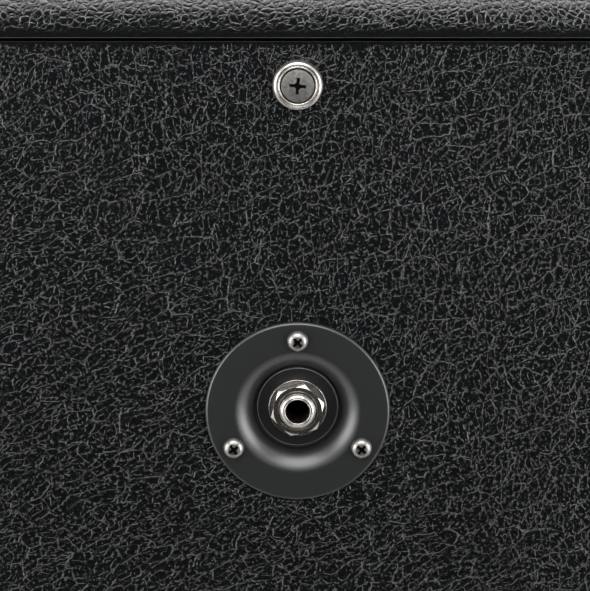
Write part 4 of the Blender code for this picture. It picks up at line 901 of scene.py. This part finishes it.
WASHER_TOP = GAP + 0.0008
WASHER_RADIUS = 0.00775
washer_outline = [
    (BUSH_HOLE, WASHER_TOP),
    (WASHER_RADIUS, WASHER_TOP),
    (WASHER_RADIUS, GAP),
    (BUSH_HOLE, GAP),
]
washer_mesh = turned_mesh("washer", eased(washer_outline, 0.0002, 4), JACK_PLACE, REARWARD, 96)
washer = add_piece("jack_washer_stamped", washer_mesh, satin_nickel)
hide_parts("jack_washer")

NUT_LOW = WASHER_TOP + GAP
NUT_HIGH = NUT_LOW + 0.0024
NUT_FLAT = 0.00635
NUT_CORNER = NUT_FLAT / math.cos(math.pi / 6)
NUT_CHAMFER = 0.0004
hexagon_outline = [(0, NUT_LOW), (NUT_CORNER, NUT_LOW), (NUT_CORNER, NUT_HIGH), (0, NUT_HIGH)]
hexagon = turned_mesh("nut", hexagon_outline, JACK_PLACE, REARWARD, 6, math.radians(15))
# The blank is turned down on its corners, then bored with a chamfer.
round_outline = [
    (0, NUT_HIGH + GAP),
    (NUT_FLAT + 0.0001, NUT_HIGH + GAP),
    (NUT_FLAT + 0.0001, NUT_HIGH),
    (NUT_CORNER + 0.0004, NUT_HIGH - 0.00075),
    (NUT_CORNER + 0.0004, NUT_LOW - GAP),
    (0, NUT_LOW - GAP),
]
nut_round = turned_mesh("nut_round", round_outline, JACK_PLACE, REARWARD, 96)
nut_mesh = cut_mesh(hexagon, [nut_round], "INTERSECT")
bore_outline = [
    (0, 0),
    (BUSH_HOLE, 0),
    (BUSH_HOLE, NUT_HIGH - NUT_CHAMFER),
    (0.0058, NUT_HIGH + NUT_CHAMFER),
    (0, NUT_HIGH + NUT_CHAMFER),
]
nut_bore = turned_mesh("nut_bore", bore_outline, JACK_PLACE, REARWARD, 64)
nut = add_piece(
    "jack_nut_chamfered", cut_mesh(nut_mesh, [nut_bore]), satin_nickel, degrees=12
)
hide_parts("jack_nut")


def soften(piece, name, width, degrees):
    """Bevels a piece's edges that turn by more than an angle."""
    soft = piece.modifiers.new(name, "BEVEL")
    soft.width = width
    soft.segments = 2
    soft.limit_method = "ANGLE"
    soft.angle_limit = math.radians(degrees)


soften(nut, "worn_edges", 0.00012, 25)


# Boards: 13-ply birch, 18 mm, glued into a box; the rear panel, its battens and the brace are birch
# ply too. Sanded pale faces with long grain, and dark and light plies on every cut edge. Round the
# rear mouth they are painted black, so that no pale wood shows in the seam.
PAINTED_BEHIND = 0.160
PLY = 1.4


def birch_plywood(name, across):
    """Birch ply whose layers lie across the given axis, 0 to 2 for X to Z."""
    material, tree, shader, mm = new_finish(name, "#C9A678", 0.62)
    stretch = [0.9, 0.9, 0.9]
    stretch[(across + 1) % 3] = 0.035
    along = add_node(tree, "Mapping", {"Vector": mm, "Scale": tuple(stretch)})
    fibres = {"Vector": along, "Scale": 0.45, "Detail": 6.0, "Distortion": 0.8}
    grain = add_node(tree, "TexNoise", fibres)
    face_wood = add_node(
        tree, "Mix", {"Factor": grain, "A": linear("#B98F5E"), "B": linear("#DDBF92")}, data_type="RGBA"
    )
    # 13 plies in 18 mm are 1.4 mm each, turned across each other in pairs.
    apart = add_node(tree, "SeparateXYZ", {0: mm}).outputs
    layer = add_node(tree, "Math", {0: apart["XYZ"[across]], 1: PLY}, operation="PINGPONG")
    ply = add_node(
        tree,
        "MapRange",
        {"Value": layer, "From Min": 0.55, "From Max": 0.85},
        interpolation_type="SMOOTHSTEP",
    )
    edge_wood = add_node(
        tree, "Mix", {"Factor": ply, "A": linear("#8A6238"), "B": linear("#D2B183")}, data_type="RGBA"
    )
    normal = add_node(tree, "TexCoord", {}).outputs["Normal"]
    sides = add_node(tree, "SeparateXYZ", {0: normal}).outputs
    facing = add_node(tree, "Math", {0: sides["XYZ"[across]]}, operation="ABSOLUTE")
    is_face = add_node(tree, "Math", {0: facing, 1: 0.8}, operation="GREATER_THAN")
    wood = add_node(
        tree, "Mix", {"Factor": is_face, "A": edge_wood, "B": face_wood}, data_type="RGBA"
    )
    painted = add_node(
        tree, "Math", {0: apart["Y"], 1: PAINTED_BEHIND * 1000}, operation="GREATER_THAN"
    )
    colour = add_node(
        tree, "Mix", {"Factor": painted, "A": wood, "B": linear("#0B0B0B")}, data_type="RGBA"
    )
    sanding = {"From Min": 0.3, "From Max": 0.7, "To Min": 0.55, "To Max": 0.72}
    sanded = add_node(tree, "MapRange", {"Value": grain, **sanding})
    pores = add_node(tree, "Bump", {"Height": grain, "Distance": 0.00008})
    feed(tree, shader, {"Base Color": colour, "Roughness": sanded, "Normal": pores})
    return material


def dress(material, *names):
    """Gives carried-over nodes their finish."""
    for name in names:
        for slot in nodes[name].material_slots:
            slot.material = material


battens = [f"rear_batten_{side}" for side in ("top", "bottom", "left", "right")]
dress(birch_plywood("birch_ply_lying", 2), "top_board", "bottom_board", "cross_brace")
dress(birch_plywood("birch_ply_standing", 0), "left_board", "right_board")
dress(birch_plywood("birch_ply_facing", 1), "rear_panel", *battens)


# Baffle: the same ply, brushed with matt black emulsion that lets the grain and brush marks through,
# here as long streaks. The grille's frame is painted with it too.
black_paint = mottled_finish(
    "brushed_black_paint_on_ply",
    "#191919",
    roughness=0.72,
    per_mm=1.1,
    detail=5.0,
    tones=("#131313", "#202020"),
    haze=(0.6, 0.85),
    relief=0.12,
    stretch=(0.04, 1.0, 1.2),
)[0]
dress(black_paint, "baffle_board", "grille_frame")


# Tip spring: the leaf in the jack's frame that bears on a plug's tip, bent from rolled phosphor
# bronze, which is warm and lightly streaked along its length.
spring_bronze = mottled_finish(
    "rolled_phosphor_bronze",
    "#B98A52",
    roughness=0.30,
    per_mm=4.0,
    detail=3.0,
    tones=("#A87842", "#CB9C62"),
    relief=0.01,
    metallic=1.0,
    stretch=(1.0, 0.08, 2.0),
)[0]
dress(spring_bronze, "jack_tip_spring")


# Driver basket: pressed steel with six windows, powder coated like the jack plate, and eight bolts
# through its rim. The gasket on it is a ring of moulded black rubber.
BAFFLE_FRONT = -0.1761
DRIVER_Z = 0.3699
DRIVER = (0, BAFFLE_FRONT, DRIVER_Z)
FORWARD = (0, -1, 0)
LEDGE = -0.0730
BASKET_BACK = -0.0830
WINDOW_HALF = (0.0289, 0.0425, 0.0415)
WINDOW_CIRCLE = 0.1359
WINDOW_BEHIND = 0.0475
BOLT_CIRCLE = 0.1820
BOLT_SEAT = 0.0112
basket_outline = eased(
    [
        (0.1660, 0.0063),
        (0.1940, 0.0063),
        (0.1940, 0.0003),
        (0.1768, 0.0003),
        (0.1768, -0.0030, 0.004),
        (0.1010, LEDGE - 0.0030, 0.004),
        (0.1010, BASKET_BACK, 0.002),
        (0.0450, BASKET_BACK),
        (0.0450, BASKET_BACK + 0.0030),
        (0.0860, BASKET_BACK + 0.0030, 0.001),
        (0.0860, LEDGE, 0.001),
        (0.0980, LEDGE, 0.001),
        (0.1738, -0.0030, 0.004),
        (0.1738, 0.0033, 0.002),
        (0.1660, 0.0033),
    ],
    0.0006,
    3,
)
windows = []
for index in range(6):
    bm = block([-half for half in WINDOW_HALF], WINDOW_HALF, 0.010, 4)
    turn = math.radians(60 * index + 30)
    lie = Matrix.Rotation(math.pi / 2, 4, "X") @ Matrix.Rotation(turn, 4, "Z")
    x, z = WINDOW_CIRCLE * math.cos(turn), WINDOW_CIRCLE * math.sin(turn)
    at = Matrix.Translation((x, BAFFLE_FRONT + WINDOW_BEHIND, DRIVER_Z + z))
    bmesh.ops.transform(bm, matrix=at @ lie, verts=bm.verts)
    windows.append(to_mesh("window", bm))
basket_mesh = cut_mesh(turned_mesh("basket", basket_outline, DRIVER, FORWARD, 96), windows)
basket = add_piece("basket_pressed", basket_mesh, satin_steel)
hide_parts("speaker_basket")

# Moulded rubber is matt, with a soft uneven skin.
moulded_rubber = mottled_finish(
    "moulded_black_rubber",
    "#1B1B1B",
    roughness=0.78,
    per_mm=1.6,
    detail=4.0,
    tones=("#151515", "#232323"),
    haze=(0.68, 0.88),
    relief=0.06,
)[0]
gasket_outline = eased(
    [(0.1720, 0.0114), (0.1920, 0.0114), (0.1920, 0.0074), (0.1720, 0.0074)], 0.0008, 4
)
gasket_mesh = turned_mesh("gasket", gasket_outline, DRIVER, FORWARD, 128)
gasket = add_piece("gasket_moulded", gasket_mesh, moulded_rubber)
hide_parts("speaker_gasket")

# Cross-recessed pan-head bolts, sunk a little into the gasket. Oiled black oxide has a broken gloss.
black_screw = mottled_finish(
    "blackened_steel_screw",
    "#2A2A2B",
    roughness=0.38,
    per_mm=1.8,
    detail=4.0,
    haze=(0.3, 0.5),
    relief=0.02,
    metallic=0.85,
)[0]
for index in range(8):
    turn = math.radians(45 * index + 22.5)
    x, z = BOLT_CIRCLE * math.cos(turn), BOLT_CIRCLE * math.sin(turn)
    add_screw(
        f"basket_bolt_{index + 1}",
        pan_head(0.0045, 0.0028, 0.0022, 0.020),
        (x, BAFFLE_FRONT - BOLT_SEAT, DRIVER_Z + z),
        FORWARD,
        (0.0026, 0.0006, 0.0016),
        turn,
        black_screw,
        steps=32,
    )


# Cone and dust cap: felted black paper pulp, matt and fibrous, with three pressed ribs; the surround
# is doped cloth in a double roll, and the spider is the same cloth pressed in waves.
pulp = mottled_finish(
    "felted_paper_pulp",
    "#201F1D",
    roughness=0.88,
    per_mm=0.9,
    detail=8.0,
    tones=("#151412", "#2E2C29"),
    relief=0.25,
    swirl=1.6,
)[0]

# The threads stand out of the dope, whose gloss comes and goes. They are drawn about 1.5 mm wide.
doped_cloth, tree, shader, mm = new_finish("doped_cloth", "#191817", 0.62)
weft, warp = (
    add_node(tree, "TexWave", {"Vector": mm, "Scale": 0.22}, bands_direction=way).outputs["Fac"]
    for way in "XZ"
)
threads = add_node(tree, "Math", {0: weft, 1: warp}, operation="MULTIPLY")
dope = add_node(tree, "TexNoise", {"Vector": mm, "Scale": 0.3, "Detail": 3.0})
doping = {"From Min": 0.3, "From Max": 0.7, "To Min": 0.5, "To Max": 0.8}
dope_haze = add_node(tree, "MapRange", {"Value": dope, **doping})
dope_tone = add_node(
    tree, "Mix", {"Factor": threads, "A": linear("#121110"), "B": linear("#242220")}, data_type="RGBA"
)
dope_skin = add_node(tree, "Bump", {"Height": threads, "Distance": 0.00012})
feed(tree, shader, {"Base Color": dope_tone, "Roughness": dope_haze, "Normal": dope_skin})

CONE_LIP = 0.152
CONE_FRONT = 0.005
CONE_DEPTH = 0.066
CONE_STEPS = 60
CONE_THICK = 0.0012
NECK = 0.0386
RIBS = (0.085, 0.105, 0.125)


def cone_height(radius):
    """The cone's front face without its ribs, steeper towards the neck."""
    return CONE_FRONT - CONE_DEPTH * ((CONE_LIP - radius) / (CONE_LIP - NECK)) ** 1.15


cone_line = []
for step in range(CONE_STEPS + 1):
    radius = NECK + (CONE_LIP - NECK) * step / CONE_STEPS
    rib = sum(0.0007 * math.exp(-(((radius - at) / 0.0025) ** 2)) for at in RIBS)
    cone_line.append((radius, cone_height(radius) + rib))
cone_outline = [*cone_line, (0.160, CONE_FRONT), (0.160, CONE_FRONT - CONE_THICK)]
cone_outline += [(radius, height - CONE_THICK) for radius, height in reversed(cone_line)]
cone_mesh = turned_mesh("cone", cone_outline, DRIVER, FORWARD, 96)
cone = add_piece("cone_felted", cone_mesh, pulp, "cone")
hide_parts("speaker_cone")

CAP_RADIUS = 0.050
CAP_RISE = 0.012
CAP_STEPS = 16
cap_base = cone_height(CAP_RADIUS) + GAP
cap_line = [
    (CAP_RADIUS * step / CAP_STEPS, cap_base + CAP_RISE * (1 - (step / CAP_STEPS) ** 2))
    for step in range(CAP_STEPS + 1)
]
cap_outline = [(radius, height + CONE_THICK) for radius, height in cap_line] + cap_line[::-1]
cap_mesh = turned_mesh("dust_cap", cap_outline, DRIVER, FORWARD, 96)
cap = add_piece("dust_cap_felted", cap_mesh, pulp, "cone")
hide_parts("dust_cap")

# Two rolls between the cone's lip and the rim, 3.3 mm wide each, glued flat at both ends.
ROLL_WIDE = 0.0033
ROLL_HIGH = 0.0036
ROLL_STEPS = 12
roll_line = [(0.1523, 0.0061), (0.1590, 0.0061)]
for start in (0.1595, 0.1628):
    for step in range(ROLL_STEPS + 1):
        swell = math.sin(math.pi * step / ROLL_STEPS) ** 0.8
        roll_line.append((start + ROLL_WIDE * step / ROLL_STEPS, 0.0066 + ROLL_HIGH * swell))
roll_line += [(0.1668, 0.0071), (0.1900, 0.0071)]
surround_outline = roll_line + [(radius, height - 0.0006) for radius, height in reversed(roll_line)]
surround_mesh = turned_mesh("surround", surround_outline, DRIVER, FORWARD, 128)
surround = add_piece("surround_double_roll", surround_mesh, doped_cloth)
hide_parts("speaker_surround")

SPIDER_LOW = LEDGE + GAP
WAVES = 3
WAVE_STEPS = 24
WAVE_HALF = 0.00125
spider_line = [(NECK, SPIDER_LOW), (0.0440, SPIDER_LOW)]
for step in range(WAVES * WAVE_STEPS + 1):
    radius = 0.0486 + 0.0349 * step / (WAVES * WAVE_STEPS)
    wave = WAVE_HALF * (1 - math.cos(2 * math.pi * step / WAVE_STEPS))
    spider_line.append((radius, SPIDER_LOW + wave))
spider_line += [(0.0977, SPIDER_LOW)]
spider_outline = [(radius, height + 0.0008) for radius, height in spider_line] + spider_line[::-1]
spider_mesh = turned_mesh("spider", spider_outline, DRIVER, FORWARD, 64)
spider = add_piece("spider_pressed", spider_mesh, doped_cloth)
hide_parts("spider")


# Motor: an enamelled copper coil, zinc-plated plates turned on a lathe, and a ceramic ferrite ring
# with a dull ground face. The terminal strip is moulded plastic.
coil_copper, tree, shader, mm = new_finish("enamelled_copper_winding", "#C77B45", 0.34)
turns = add_node(tree, "TexWave", {"Vector": mm, "Scale": 0.6}, bands_direction="Y").outputs["Fac"]
copper_tone = add_node(
    tree, "Mix", {"Factor": turns, "A": linear("#8A4A22"), "B": linear("#D58A50")}, data_type="RGBA"
)
windings = add_node(tree, "Bump", {"Height": turns, "Distance": 0.00012})
feed(tree, shader, {"Base Color": copper_tone, "Normal": windings, "Metallic": 1.0})
dress(coil_copper, "voice_coil")

# Blue passivated zinc: a cool grey metal with a cloudy bloom and fine tool marks.
zinc_steel, tree, shader, mm = mottled_finish(
    "zinc_plated_steel_turned",
    "#B4B6B5",
    roughness=0.30,
    per_mm=0.12,
    detail=5.0,
    tones=("#9DA0A2", "#C4C3BB"),
    haze=(0.22, 0.42),
    metallic=1.0,
)
tool_marks = add_node(tree, "TexNoise", {"Vector": mm, "Scale": 2.2, "Detail": 3.0})
feed(tree, shader, {"Normal": add_node(tree, "Bump", {"Height": tool_marks, "Distance": 0.000015})})
dress(zinc_steel, "top_plate", "back_plate")

# Sintered ferrite: a dull dark grey crumb.
ceramic = mottled_finish(
    "sintered_ferrite",
    "#3A3A3C",
    roughness=0.70,
    per_mm=1.2,
    detail=6.0,
    tones=("#2C2C2E", "#48484A"),
    relief=0.1,
)[0]
dress(ceramic, "magnet")

# High-impact polymer from a spark-eroded mould: an even stipple, drawn 0.8 mm wide so that it shows.
moulded = mottled_finish(
    "moulded_black_plastic",
    "#1C1C1D",
    roughness=0.48,
    per_mm=1.25,
    detail=3.0,
    tones=("#171718", "#222224"),
    haze=(0.4, 0.56),
    relief=0.09,
)[0]
dress(moulded, "speaker_terminals")


# Ports: two tubes for the air, with a flared mouth, moulded of the terminals' black plastic and
# glued into the baffle.
PORT_X = 0.1599
PORT_Z = 0.1201
PORT_BORE = 0.038
PORT_WALL = 0.003
PORT_LENGTH = 0.120
FLARE = 0.006
FLARE_TOP = 0.0025
port_outline = [(PORT_BORE, -PORT_LENGTH)]
port_outline += arc((PORT_BORE + FLARE, FLARE_TOP - FLARE), FLARE, 180, 90, 10)
port_outline += arc((0.0452, 0.0017), 0.0008, 90, 0, 4)
port_outline += [(0.046, GAP), (PORT_BORE + PORT_WALL, GAP), (PORT_BORE + PORT_WALL, -PORT_LENGTH)]
for name, side in (("left", -1), ("right", 1)):
    place = (side * PORT_X, BAFFLE_FRONT, PORT_Z)
    port_mesh = turned_mesh("port", port_outline, place, FORWARD, 96)
    port = add_piece(f"port_{name}_moulded", port_mesh, moulded)
    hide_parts(f"port_tube_{name}")


# Grille: black acoustic cloth, a plain weave of twisted polyester, stretched over the painted frame
# and stapled behind. The real thread is about 1 mm; it is drawn 3 mm wide so that it shows.
GRILLE_HALF = 0.2790
GRILLE_FACE = -0.1980
GRILLE_BACK = -0.1789
THREAD = 3.0
grille_weave, tree, shader, mm = new_finish("woven_polyester_grille_cloth", "#1D1D1D", 0.80)
apart = add_node(tree, "SeparateXYZ", {0: mm}).outputs
sines = []
for axis in "XZ":
    pace = add_node(tree, "Math", {0: apart[axis], 1: math.pi / THREAD}, operation="MULTIPLY")
    sines.append(add_node(tree, "Math", {0: pace}, operation="SINE"))
over = add_node(tree, "Math", {0: sines[0], 1: sines[1]}, operation="MULTIPLY")
under = add_node(tree, "Math", {0: over}, operation="ABSOLUTE")
slub = add_node(tree, "TexNoise", {"Vector": mm, "Scale": 0.5, "Detail": 4.0})
height = add_node(tree, "Math", {0: slub, 1: 0.4, 2: under}, operation="MULTIPLY_ADD")
weave_tone = add_node(
    tree, "Mix", {"Factor": under, "A": linear("#0C0C0C"), "B": linear("#2B2B2B")}, data_type="RGBA"
)
weave = add_node(tree, "Bump", {"Height": height, "Distance": 0.0005})
feed(tree, shader, {"Base Color": weave_tone, "Normal": weave})
feed(tree, shader, {"Sheen Weight": 0.25, "Sheen Roughness": 0.5})
cloth_low = (-GRILLE_HALF, GRILLE_FACE, BOX_MIDDLE - GRILLE_HALF)
cloth_high = (GRILLE_HALF, GRILLE_BACK, BOX_MIDDLE + GRILLE_HALF)
cloth_mesh = to_mesh("grille_cloth", block(cloth_low, cloth_high, 0.003, 6, (0, 1, 0)))
cloth = add_piece("grille_cloth_stretched", cloth_mesh, grille_weave, "grille")
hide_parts("grille_cloth")

# Hook-and-loop tape: a felt of tiny loops, drawn 1.1 mm apart so that they show.
hook_loop, tree, shader, mm = new_finish("hook_and_loop_tape", "#141414", 0.95)
loops = add_node(tree, "TexVoronoi", {"Vector": mm, "Scale": 0.9})
loop_tone = add_node(
    tree, "Mix", {"Factor": loops, "A": linear("#242424"), "B": linear("#0D0D0D")}, data_type="RGBA"
)
pile = add_node(tree, "Bump", {"Height": loops, "Distance": 0.0006})
feed(tree, shader, {"Base Color": loop_tone, "Normal": pile, "Sheen Weight": 0.4})
dress(hook_loop, "hook_strip_left", "hook_strip_right")


# Side handles: a pressed steel dish, powder coated, holds a zinc-plated bail on two pins, with a
# ribbed rubber grip. Four black pan-head screws fix each flange.
POCKET = (0.075, 0.048)
POCKET_DEPTH = 0.016
FLANGE = 0.015
HANDLE_SHEET = 0.0015
HANDLE_TOP = BOX_HALF + GAP + HANDLE_SHEET
HANDLE_SCREWS = (0.0790, 0.0520)
BAIL_X = HANDLE_TOP - 0.0082
BAIL_ROD = 0.0045
BAIL_LEG = 0.0675
BAIL_REACH = 0.062
PIVOT_Z = HANDLE_Z + 0.0395
RIB_COUNT = 13
GRIP_HALF = 0.043
GRIP_CORE = 0.0048


def dish_bmesh(side):
    """The dish as hoops from the flange's back edge, over the flange, down the wall to the floor."""
    outline = [(FLANGE, -HANDLE_SHEET)]
    outline += arc((FLANGE - 0.0006, -0.0006), 0.0006, 0, 90, 4)
    outline += arc((0.002, -0.002), 0.002, 90, 180, 6)
    outline += arc((-0.002, 0.002 - POCKET_DEPTH), 0.002, 0, -90, 6)
    bm = bmesh.new()
    hoops = []
    for out, height in outline:
        hoop = rounded_hoop(POCKET[0] + out, POCKET[1] + out, max(0.010 + out, 0.001), 10)
        x = side * (HANDLE_TOP + height)
        hoops.append([bm.verts.new((x, y, HANDLE_Z + z)) for y, z in hoop])
    join_hoops(bm, hoops)
    bm.faces.new(hoops[-1])
    return bm


# Half the bail, from the pin's end round two bends to the middle of the grip, then its mirror.
bail_line = [(-0.078, 0.0)]
bail_line += arc((-0.0735, -0.006), 0.006, 90, 0, 10)
bail_line += arc((0.012 - BAIL_LEG, 0.012 - BAIL_REACH), 0.012, 180, 270, 12)
bail_line += [(-y, z) for y, z in reversed(bail_line)]
grip_outline = [(GRIP_CORE, -GRIP_HALF)]
grip_outline += arc((0.0060, 0.0015 - GRIP_HALF), 0.0015, 270, 360, 4)
for rib in range(RIB_COUNT):
    start = -0.039 + 0.078 * rib / RIB_COUNT
    for radius, along in ((0.0075, 0.0006), (0.0075, 0.0046), (0.0069, 0.0050), (0.0069, 0.0056)):
        grip_outline.append((radius, start + along))
grip_outline += arc((0.0060, GRIP_HALF - 0.0015), 0.0015, 0, 90, 4)
grip_outline += [(GRIP_CORE, GRIP_HALF)]
for name, side in (("left", -1), ("right", 1)):
    dish_mesh = to_mesh("handle_dish", dish_bmesh(side))
    dish = add_piece(f"handle_dish_{name}_pressed", dish_mesh, satin_steel)
    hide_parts(f"handle_dish_{name}")
    rod = bpy.data.curves.new(f"bail_{name}", "CURVE")
    rod.dimensions = "3D"
    rod.bevel_depth = BAIL_ROD
    rod.bevel_resolution = 8
    rod.use_fill_caps = True
    spline = rod.splines.new("POLY")
    spline.points.add(len(bail_line) - 1)
    for target, (y, z) in zip(spline.points, bail_line):
        target.co = (side * BAIL_X, y, PIVOT_Z + z, 1.0)
    bail = add_object(f"handle_bail_{name}_bent_rod", rod, zinc_steel)
    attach(bail, f"handle_{name}")
    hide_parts(f"handle_bail_{name}")
    grip_place = (side * BAIL_X, 0, PIVOT_Z - BAIL_REACH)
    grip_mesh = turned_mesh("grip", grip_outline, grip_place, REARWARD, 48)
    grip = add_piece(
        f"handle_grip_{name}_ribbed", grip_mesh, moulded_rubber, f"handle_{name}"
    )
    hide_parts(f"handle_grip_{name}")
    for corner, (y, z) in enumerate(((-1, -1), (-1, 1), (1, -1), (1, 1))):
        seat_x = side * (HANDLE_TOP + 0.00005)
        add_screw(
            f"handle_screw_{name}_{corner + 1}",
            pan_head(0.0040, 0.0019, 0.0019, 0.020),
            (seat_x, y * HANDLE_SCREWS[0], HANDLE_Z + z * HANDLE_SCREWS[1]),
            (side, 0, 0),
            (0.0022, 0.0005, 0.0012),
            math.radians(25 * corner),
            black_screw,
            steps=32,
        )


# Corner protectors: black moulded caps over all eight corners, trimmed to a round outline and cut
# clear of the mouths, each held by two small black screws.
CORNER_SHEET = 0.0018
CORNER_REACH = 0.052
CORNER_SCREW_IN = 0.030
MOUTH_ROOM = 0.002
bm = bmesh.new()
bmesh.ops.create_cube(bm, size=2 * CORNER_REACH)
bmesh.ops.translate(bm, vec=(GAP - CORNER_REACH,) * 3, verts=bm.verts)
bm.normal_update()
hidden = [face for face in bm.faces if face.normal.dot(Vector((1, 1, 1))) < 0]
bmesh.ops.delete(bm, geom=hidden, context="FACES")
bmesh.ops.bevel(
    bm,
    geom=[edge for edge in bm.edges if len(edge.link_faces) == 2],
    offset=EDGE_ROUND + GAP,
    offset_type="OFFSET",
    segments=12,
    profile=0.5,
    affect="EDGES",
)
thick_corner = thickened(to_mesh("corner", bm), CORNER_SHEET, 1.0)
bm = bmesh.new()
bmesh.ops.create_uvsphere(bm, u_segments=96, v_segments=48, radius=CORNER_REACH)
bmesh.ops.translate(bm, vec=(-EDGE_ROUND,) * 3, verts=bm.verts)
corner_mesh = cut_mesh(thick_corner, [to_mesh("corner_trim", bm)], "INTERSECT")
clear = MOUTH + MOUTH_ROOM
box_levels = (("bottom", BOX_MIDDLE - BOX_HALF, math.pi), ("top", BOX_MIDDLE + BOX_HALF, 0.0))
for level, z, tipped in box_levels:
    for end, y in (("front", -HALF_DEPTH), ("rear", HALF_DEPTH)):
        for name, x in (("left", -BOX_HALF), ("right", BOX_HALF)):
            base = math.radians(-45 if tipped else 45)
            quarter = round((math.atan2(y, x) - base) / (math.pi / 2)) * math.pi / 2
            turned = Matrix.Rotation(quarter, 4, "Z") @ Matrix.Rotation(tipped, 4, "X")
            shape = corner_mesh.copy()
            shape.transform(Matrix.Translation((x, y, z)) @ turned)
            room = block((-clear, -0.3, BOX_MIDDLE - clear), (clear, 0.3, BOX_MIDDLE + clear))
            cap_mesh = cut_mesh(shape, [to_mesh("mouth_room", room)])
            cap = add_piece(
                f"corner_{level}_{end}_{name}_moulded", cap_mesh, moulded
            )
            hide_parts(f"corner_{level}_{end}_{name}")
            soften(cap, "moulded_edges", 0.0005, 40)
            side = Vector((math.copysign(1, x), math.copysign(1, y), -1 if tipped else 1))
            for number, axis in enumerate((Vector((1, 0, 0)), Vector((0, 0, 1)))):
                out = axis * side
                inset = (Vector((1, 1, 1)) - axis) * side * CORNER_SCREW_IN
                add_screw(
                    f"corner_screw_{level}_{end}_{name}_{number + 1}",
                    pan_head(0.0034, 0.0015, 0.0015, 0.014),
                    Vector((x, y, z)) - inset + out * (GAP + CORNER_SHEET - 0.0004),
                    out,
                    (0.0019, 0.00045, 0.0010),
                    math.radians(20 + 40 * number),
                    black_screw,
                    steps=24,
                )


# Feet: four tapered feet of moulded black rubber, each held by one zinc-plated pan-head screw down
# in its well.
FOOT_X = 0.235
FOOT_Y = 0.135
FOOT_TOP = 0.0197
WELL_DEPTH = 0.010
WELL_RADIUS = 0.0065
foot_outline = eased(
    [
        (WELL_RADIUS, 0.0),
        (0.0160, 0.0, 0.002),
        (0.0190, FOOT_TOP, 0.0006),
        (0.0021, FOOT_TOP, 0),
        (0.0021, WELL_DEPTH, 0),
        (WELL_RADIUS, WELL_DEPTH, 0.001),
    ],
    0.0008,
    5,
)
for end, y in (("front", -FOOT_Y), ("rear", FOOT_Y)):
    for name, x in (("left", -FOOT_X), ("right", FOOT_X)):
        foot_mesh = turned_mesh("foot", foot_outline, (x, y, 0.0), (0, 0, 1), 64)
        foot = add_piece(f"foot_{end}_{name}_rubber", foot_mesh, moulded_rubber)
        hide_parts(f"foot_{end}_{name}")
        add_screw(
            f"foot_screw_{end}_{name}",
            pan_head(0.0045, 0.0025, 0.0020, 0.016),
            (x, y, WELL_DEPTH - 0.0001),
            (0, 0, -1),
            (0.0024, 0.0005, 0.0014),
            0.4,
            dull_zinc,
            steps=32,
        )


# Damping pad: 30 mm of polyester wadding stapled inside the rear panel below the jack, lofty,
# off-white and uneven. The lead from the jack to the driver is PVC-sheathed.
PAD_LOW = (-0.197, 0.1546, 0.083)
PAD_HIGH = (0.197, 0.1813, 0.357)
PAD_STAPLED = 0.180
PAD_LUMP = 0.0014
wadding = mottled_finish(
    "polyester_wadding_fluff",
    "#DAD8D2",
    roughness=0.95,
    per_mm=0.35,
    detail=8.0,
    tones=("#C4C1B9", "#EAE8E3"),
    relief=2.0,
    swirl=2.0,
)[0]
bm = block(PAD_LOW, PAD_HIGH, 0.009, 3)
long_edges = [edge for edge in bm.edges if edge.calc_length() > 0.1]
bmesh.ops.subdivide_edges(bm, edges=long_edges, cuts=24, use_grid_fill=True)
bm.normal_update()
for vert in bm.verts:
    x, y, z = vert.co
    lumps = math.sin(x * 95) * math.sin(z * 88 + 1) + 0.5 * math.sin(x * 41 + z * 57)
    if y < PAD_STAPLED:
        vert.co -= vert.normal * PAD_LUMP * (1 - lumps / 1.5)
pad = add_piece("damping_pad_lofty", to_mesh("damping_pad", bm), wadding)
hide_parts("damping_pad")

# Extruded PVC has a low sheen that varies along it.
sheath = mottled_finish(
    "extruded_pvc_sheath",
    "#1E1E1E",
    roughness=0.46,
    per_mm=0.8,
    detail=3.0,
    haze=(0.38, 0.55),
    relief=0.05,
)[0]
dress(sheath, "speaker_lead")
